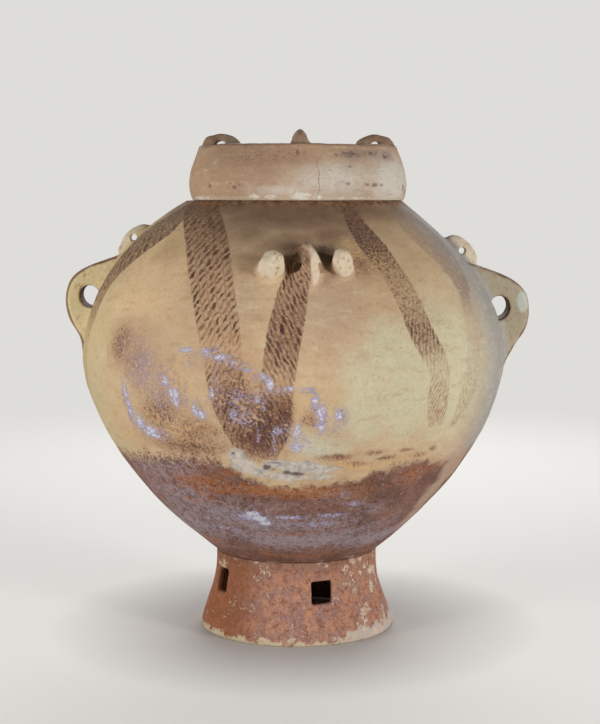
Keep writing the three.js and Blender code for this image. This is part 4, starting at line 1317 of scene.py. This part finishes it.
def piece(name, body, slot, shape, nodes, painted=False, parts=None, cover=None):
    """A visible mesh that stands for some CAD nodes, given by its points and faces."""
    points, faces = shape
    settled = settle(points, body) * MM
    mesh = bpy.data.meshes.new(name)
    mesh.from_pydata(settled.tolist(), [], faces)
    mesh.polygons.foreach_set("use_smooth", [True] * len(mesh.polygons))
    for key, values in places_on_pot(points, body, painted, parts, cover).items():
        attribute = mesh.attributes.new(key, "FLOAT_VECTOR", "POINT")
        attribute.data.foreach_set("vector", values.astype(np.float32).ravel())
    mesh.materials.append(MATERIALS[slot])
    mesh.update()
    thing = bpy.data.objects.new(name, mesh)
    bpy.context.scene.collection.objects.link(thing)
    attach(thing, body)
    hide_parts(*nodes)


def handle_marks(points, side):
    """Painted rim, dark red-brown in and round the hole and mended patch of a handle, and its pale cover,
    lighter on the left handle and darker on the right as painted light and shade.
    """
    x = points[:, 0] - HOLE_DISTANCES[side]
    z = points[:, 2] - HANDLE_HEIGHTS[side]
    outline = outline_distance(x, z, handle_outline(side))
    rim = np.clip((outline + 5) / 3, 0, 1) * (x > -34)
    distance = hole_distance(x, z, side)
    # Dark red-brown inside the hole and on its edge.
    stain = np.clip(1 - distance / 1.5, 0, 1)
    mend = np.zeros(len(points))
    if side == "right":
        rim *= 0.6
        stain = np.clip(1 - distance / np.interp(z - x, (-25, 20), (5.5, 1.5)), 0, 1)
        patch = 1 - np.hypot((x - 28) / 6.8, (z - 6.5) / 13.5)
        mend = np.clip(patch * 6, 0, 0.9) * (points[:, 1] < 0)
    proud = np.clip((wall_field(points) - 1) / 8, 0, 1)
    # Painted light and shade: the left handle's slip lighter, the right one's darker.
    yellow_and_light = 0 * proud + (1.0 if side == "left" else 0.6)
    return np.stack([rim, stain, mend], 1), np.stack([proud, yellow_and_light, 0 * proud], 1)


def pale_cover(points, strength, split=False):
    """Pale slip on what stands out from the wall; on a split piece, only on its right side, with a painted
    highlight along its crest.
    """
    proud = wall_field(points)
    share = np.clip((proud - 1) / 5, 0, 1) * strength
    crest = 0 * share
    if split:
        side = points[:, 1] - 2.5
        share *= np.clip((side + 1) / 3, 0, 1)
        # Painted highlight along the crest.
        crest = np.clip(1 - np.abs(side - 0.5) / 2.2, 0, 1) * np.clip((proud - 13) / 5, 0, 1)
    return np.stack([share, 0 * share, crest], 1)


def attached(name, shape, azimuth, **marks):
    """A piece of painted clay on the jar's wall, made for azimuth 90 and turned to its own."""
    points, faces = shape
    shape = (turned(points, azimuth), faces)
    piece(f"{name}_skin", "jar", "painted_slip", shape, (name,), **marks)


piece("body_skin", "jar", "painted_slip", body_skin(), ("lower_body", "upper_body"), painted=True)
piece("foot_skin", "jar", "red_slip", pedestal_foot(), ("pedestal_foot",))
piece("neck_skin", "jar", "painted_slip", neck_skin(), ("neck_collar",))
for side in HANDLE_HEIGHTS:
    shape = handle(side)
    parts, cover = handle_marks(shape[0], side)
    attached(f"{side}_handle", shape, LUGS[side][0], parts=parts, cover=cover)
for side, (azimuth, _) in LUGS.items():
    shape = lug(side)
    front = side == "front"
    attached(f"{side}_lug", shape, azimuth, painted=front, cover=pale_cover(shape[0], 0.8, front))
for side, (azimuth, _) in KNOBS.items():
    shape = knob(side)
    attached(f"{side}_knob", shape, azimuth, cover=pale_cover(shape[0], 1.0))
piece("lid_skin", "lid", "lid_clay", lid_skin(), ("lid_wall", "lid_top"))
for side, azimuth in LID_LUG_AZIMUTHS.items():
    points, faces = lid_lug(side)
    shape = (turned(points, azimuth), faces)
    piece(f"lid_lug_{side}_skin", "lid", "lid_clay", shape, (f"lid_lug_{side}",))


# Floor, light and camera

# Distances from the jar, in metres, between which the floor fades into the background
FLOOR_NEAR = 0.8
FLOOR_FAR = 2.0
FLOOR_HALF = 6.0
FLOOR_GLOW = 0.55
BACKGROUND = srgb(222, 221, 218)

# Strength of the sky's light

SKY_LOW = 0.36
SKY_OVERHEAD = 0.12
SKY_BEHIND = 0.5

# Camera fitted to the photo

CAMERA_PLACE = (0.0047, -1.8346, 0.5140)
CAMERA_TILT = 83.8
CAMERA_LENS = 77.07
CAMERA_SENSOR = 36.0


def plain_floor():
    """A pale floor that keeps the jar's shadow, with a painted shade round the foot, and fades into the
    background.
    """
    mesh = bpy.data.meshes.new("floor")
    corners = [(x * FLOOR_HALF, y * FLOOR_HALF, 0) for x, y in ((-1, -1), (1, -1), (1, 1), (-1, 1))]
    mesh.from_pydata(corners, [], [(0, 1, 2, 3)])
    material = bpy.data.materials.new("floor")
    material.use_nodes = True
    nodes = Nodes(material.node_tree)
    from_jar = nodes.length(nodes.node("ShaderNodeTexCoord", {}, "Object"))
    inputs = {
        "Base Color": srgb(206, 204, 200),
        "Roughness": 0.9,
        "Emission Color": BACKGROUND,
        # The glow falls to nothing near the jar: a painted shade round the foot, which also keeps the
        # floor inside the foot dark.
        "Emission Strength": nodes.seen() * nodes.slope(from_jar, 0.1, 0.3, 0.0, FLOOR_GLOW),
    }
    clear = nodes.node("ShaderNodeBsdfTransparent", {})
    fade = nodes.step(from_jar, FLOOR_NEAR, FLOOR_FAR)
    blend = nodes.blend(fade, nodes.given("Principled BSDF", inputs), clear)
    nodes.connect(nodes.tree.nodes["Material Output"], {0: blend})
    mesh.materials.append(material)
    thing = bpy.data.objects.new("floor", mesh)
    bpy.context.scene.collection.objects.link(thing)


def area_light(name, place, target, size, power):
    data = bpy.data.lights.new(name, "AREA")
    data.shape = "DISK"
    data.size = size
    data.energy = power
    thing = bpy.data.objects.new(name, data)
    thing.location = place
    thing.rotation_euler = (Vector(target) - Vector(place)).to_track_quat("-Z", "Y").to_euler()
    bpy.context.scene.collection.objects.link(thing)
    return thing


def plain_world():
    """A soft sky, dimmer overhead and brighter behind the jar, and a plain background for the camera."""
    world = bpy.data.worlds.new("studio")
    bpy.context.scene.world = world
    world.use_nodes = True
    nodes = Nodes(world.node_tree)
    _, y, z = nodes.split(nodes.node("ShaderNodeTexCoord", {}, "Generated"))
    strength = nodes.slope(z, 0.0, 1.0, SKY_LOW, SKY_OVERHEAD)
    strength = strength + nodes.slope(y, 0.15, 1.0, 0.0, SKY_BEHIND)
    sky = nodes.given("Background", {"Strength": strength})
    plain = nodes.node("ShaderNodeBackground", {"Color": BACKGROUND})
    blend = nodes.blend(nodes.seen(), sky, plain)
    nodes.connect(nodes.tree.nodes["World Output"], {0: blend})


plain_floor()
plain_world()
area_light("right", (2.1, -1.75, 0.5), (0, 0, 0.3), 0.8, 52)
area_light("left", (-2.2, -1.5, 0.45), (0, 0, 0.3), 1.0, 48)
area_light("back", (0.2, 2.4, 1.3), (0, 0, 0.35), 1.8, 38).visible_camera = False

camera_data = bpy.data.cameras.new("camera")
camera_data.lens = CAMERA_LENS
camera_data.sensor_width = CAMERA_SENSOR
camera = bpy.data.objects.new("camera", camera_data)
camera.location = CAMERA_PLACE
camera.rotation_euler = (math.radians(CAMERA_TILT), 0.0, 0.0)
bpy.context.scene.collection.objects.link(camera)
bpy.context.scene.camera = camera
bpy.context.scene.view_settings.view_transform = "Standard"
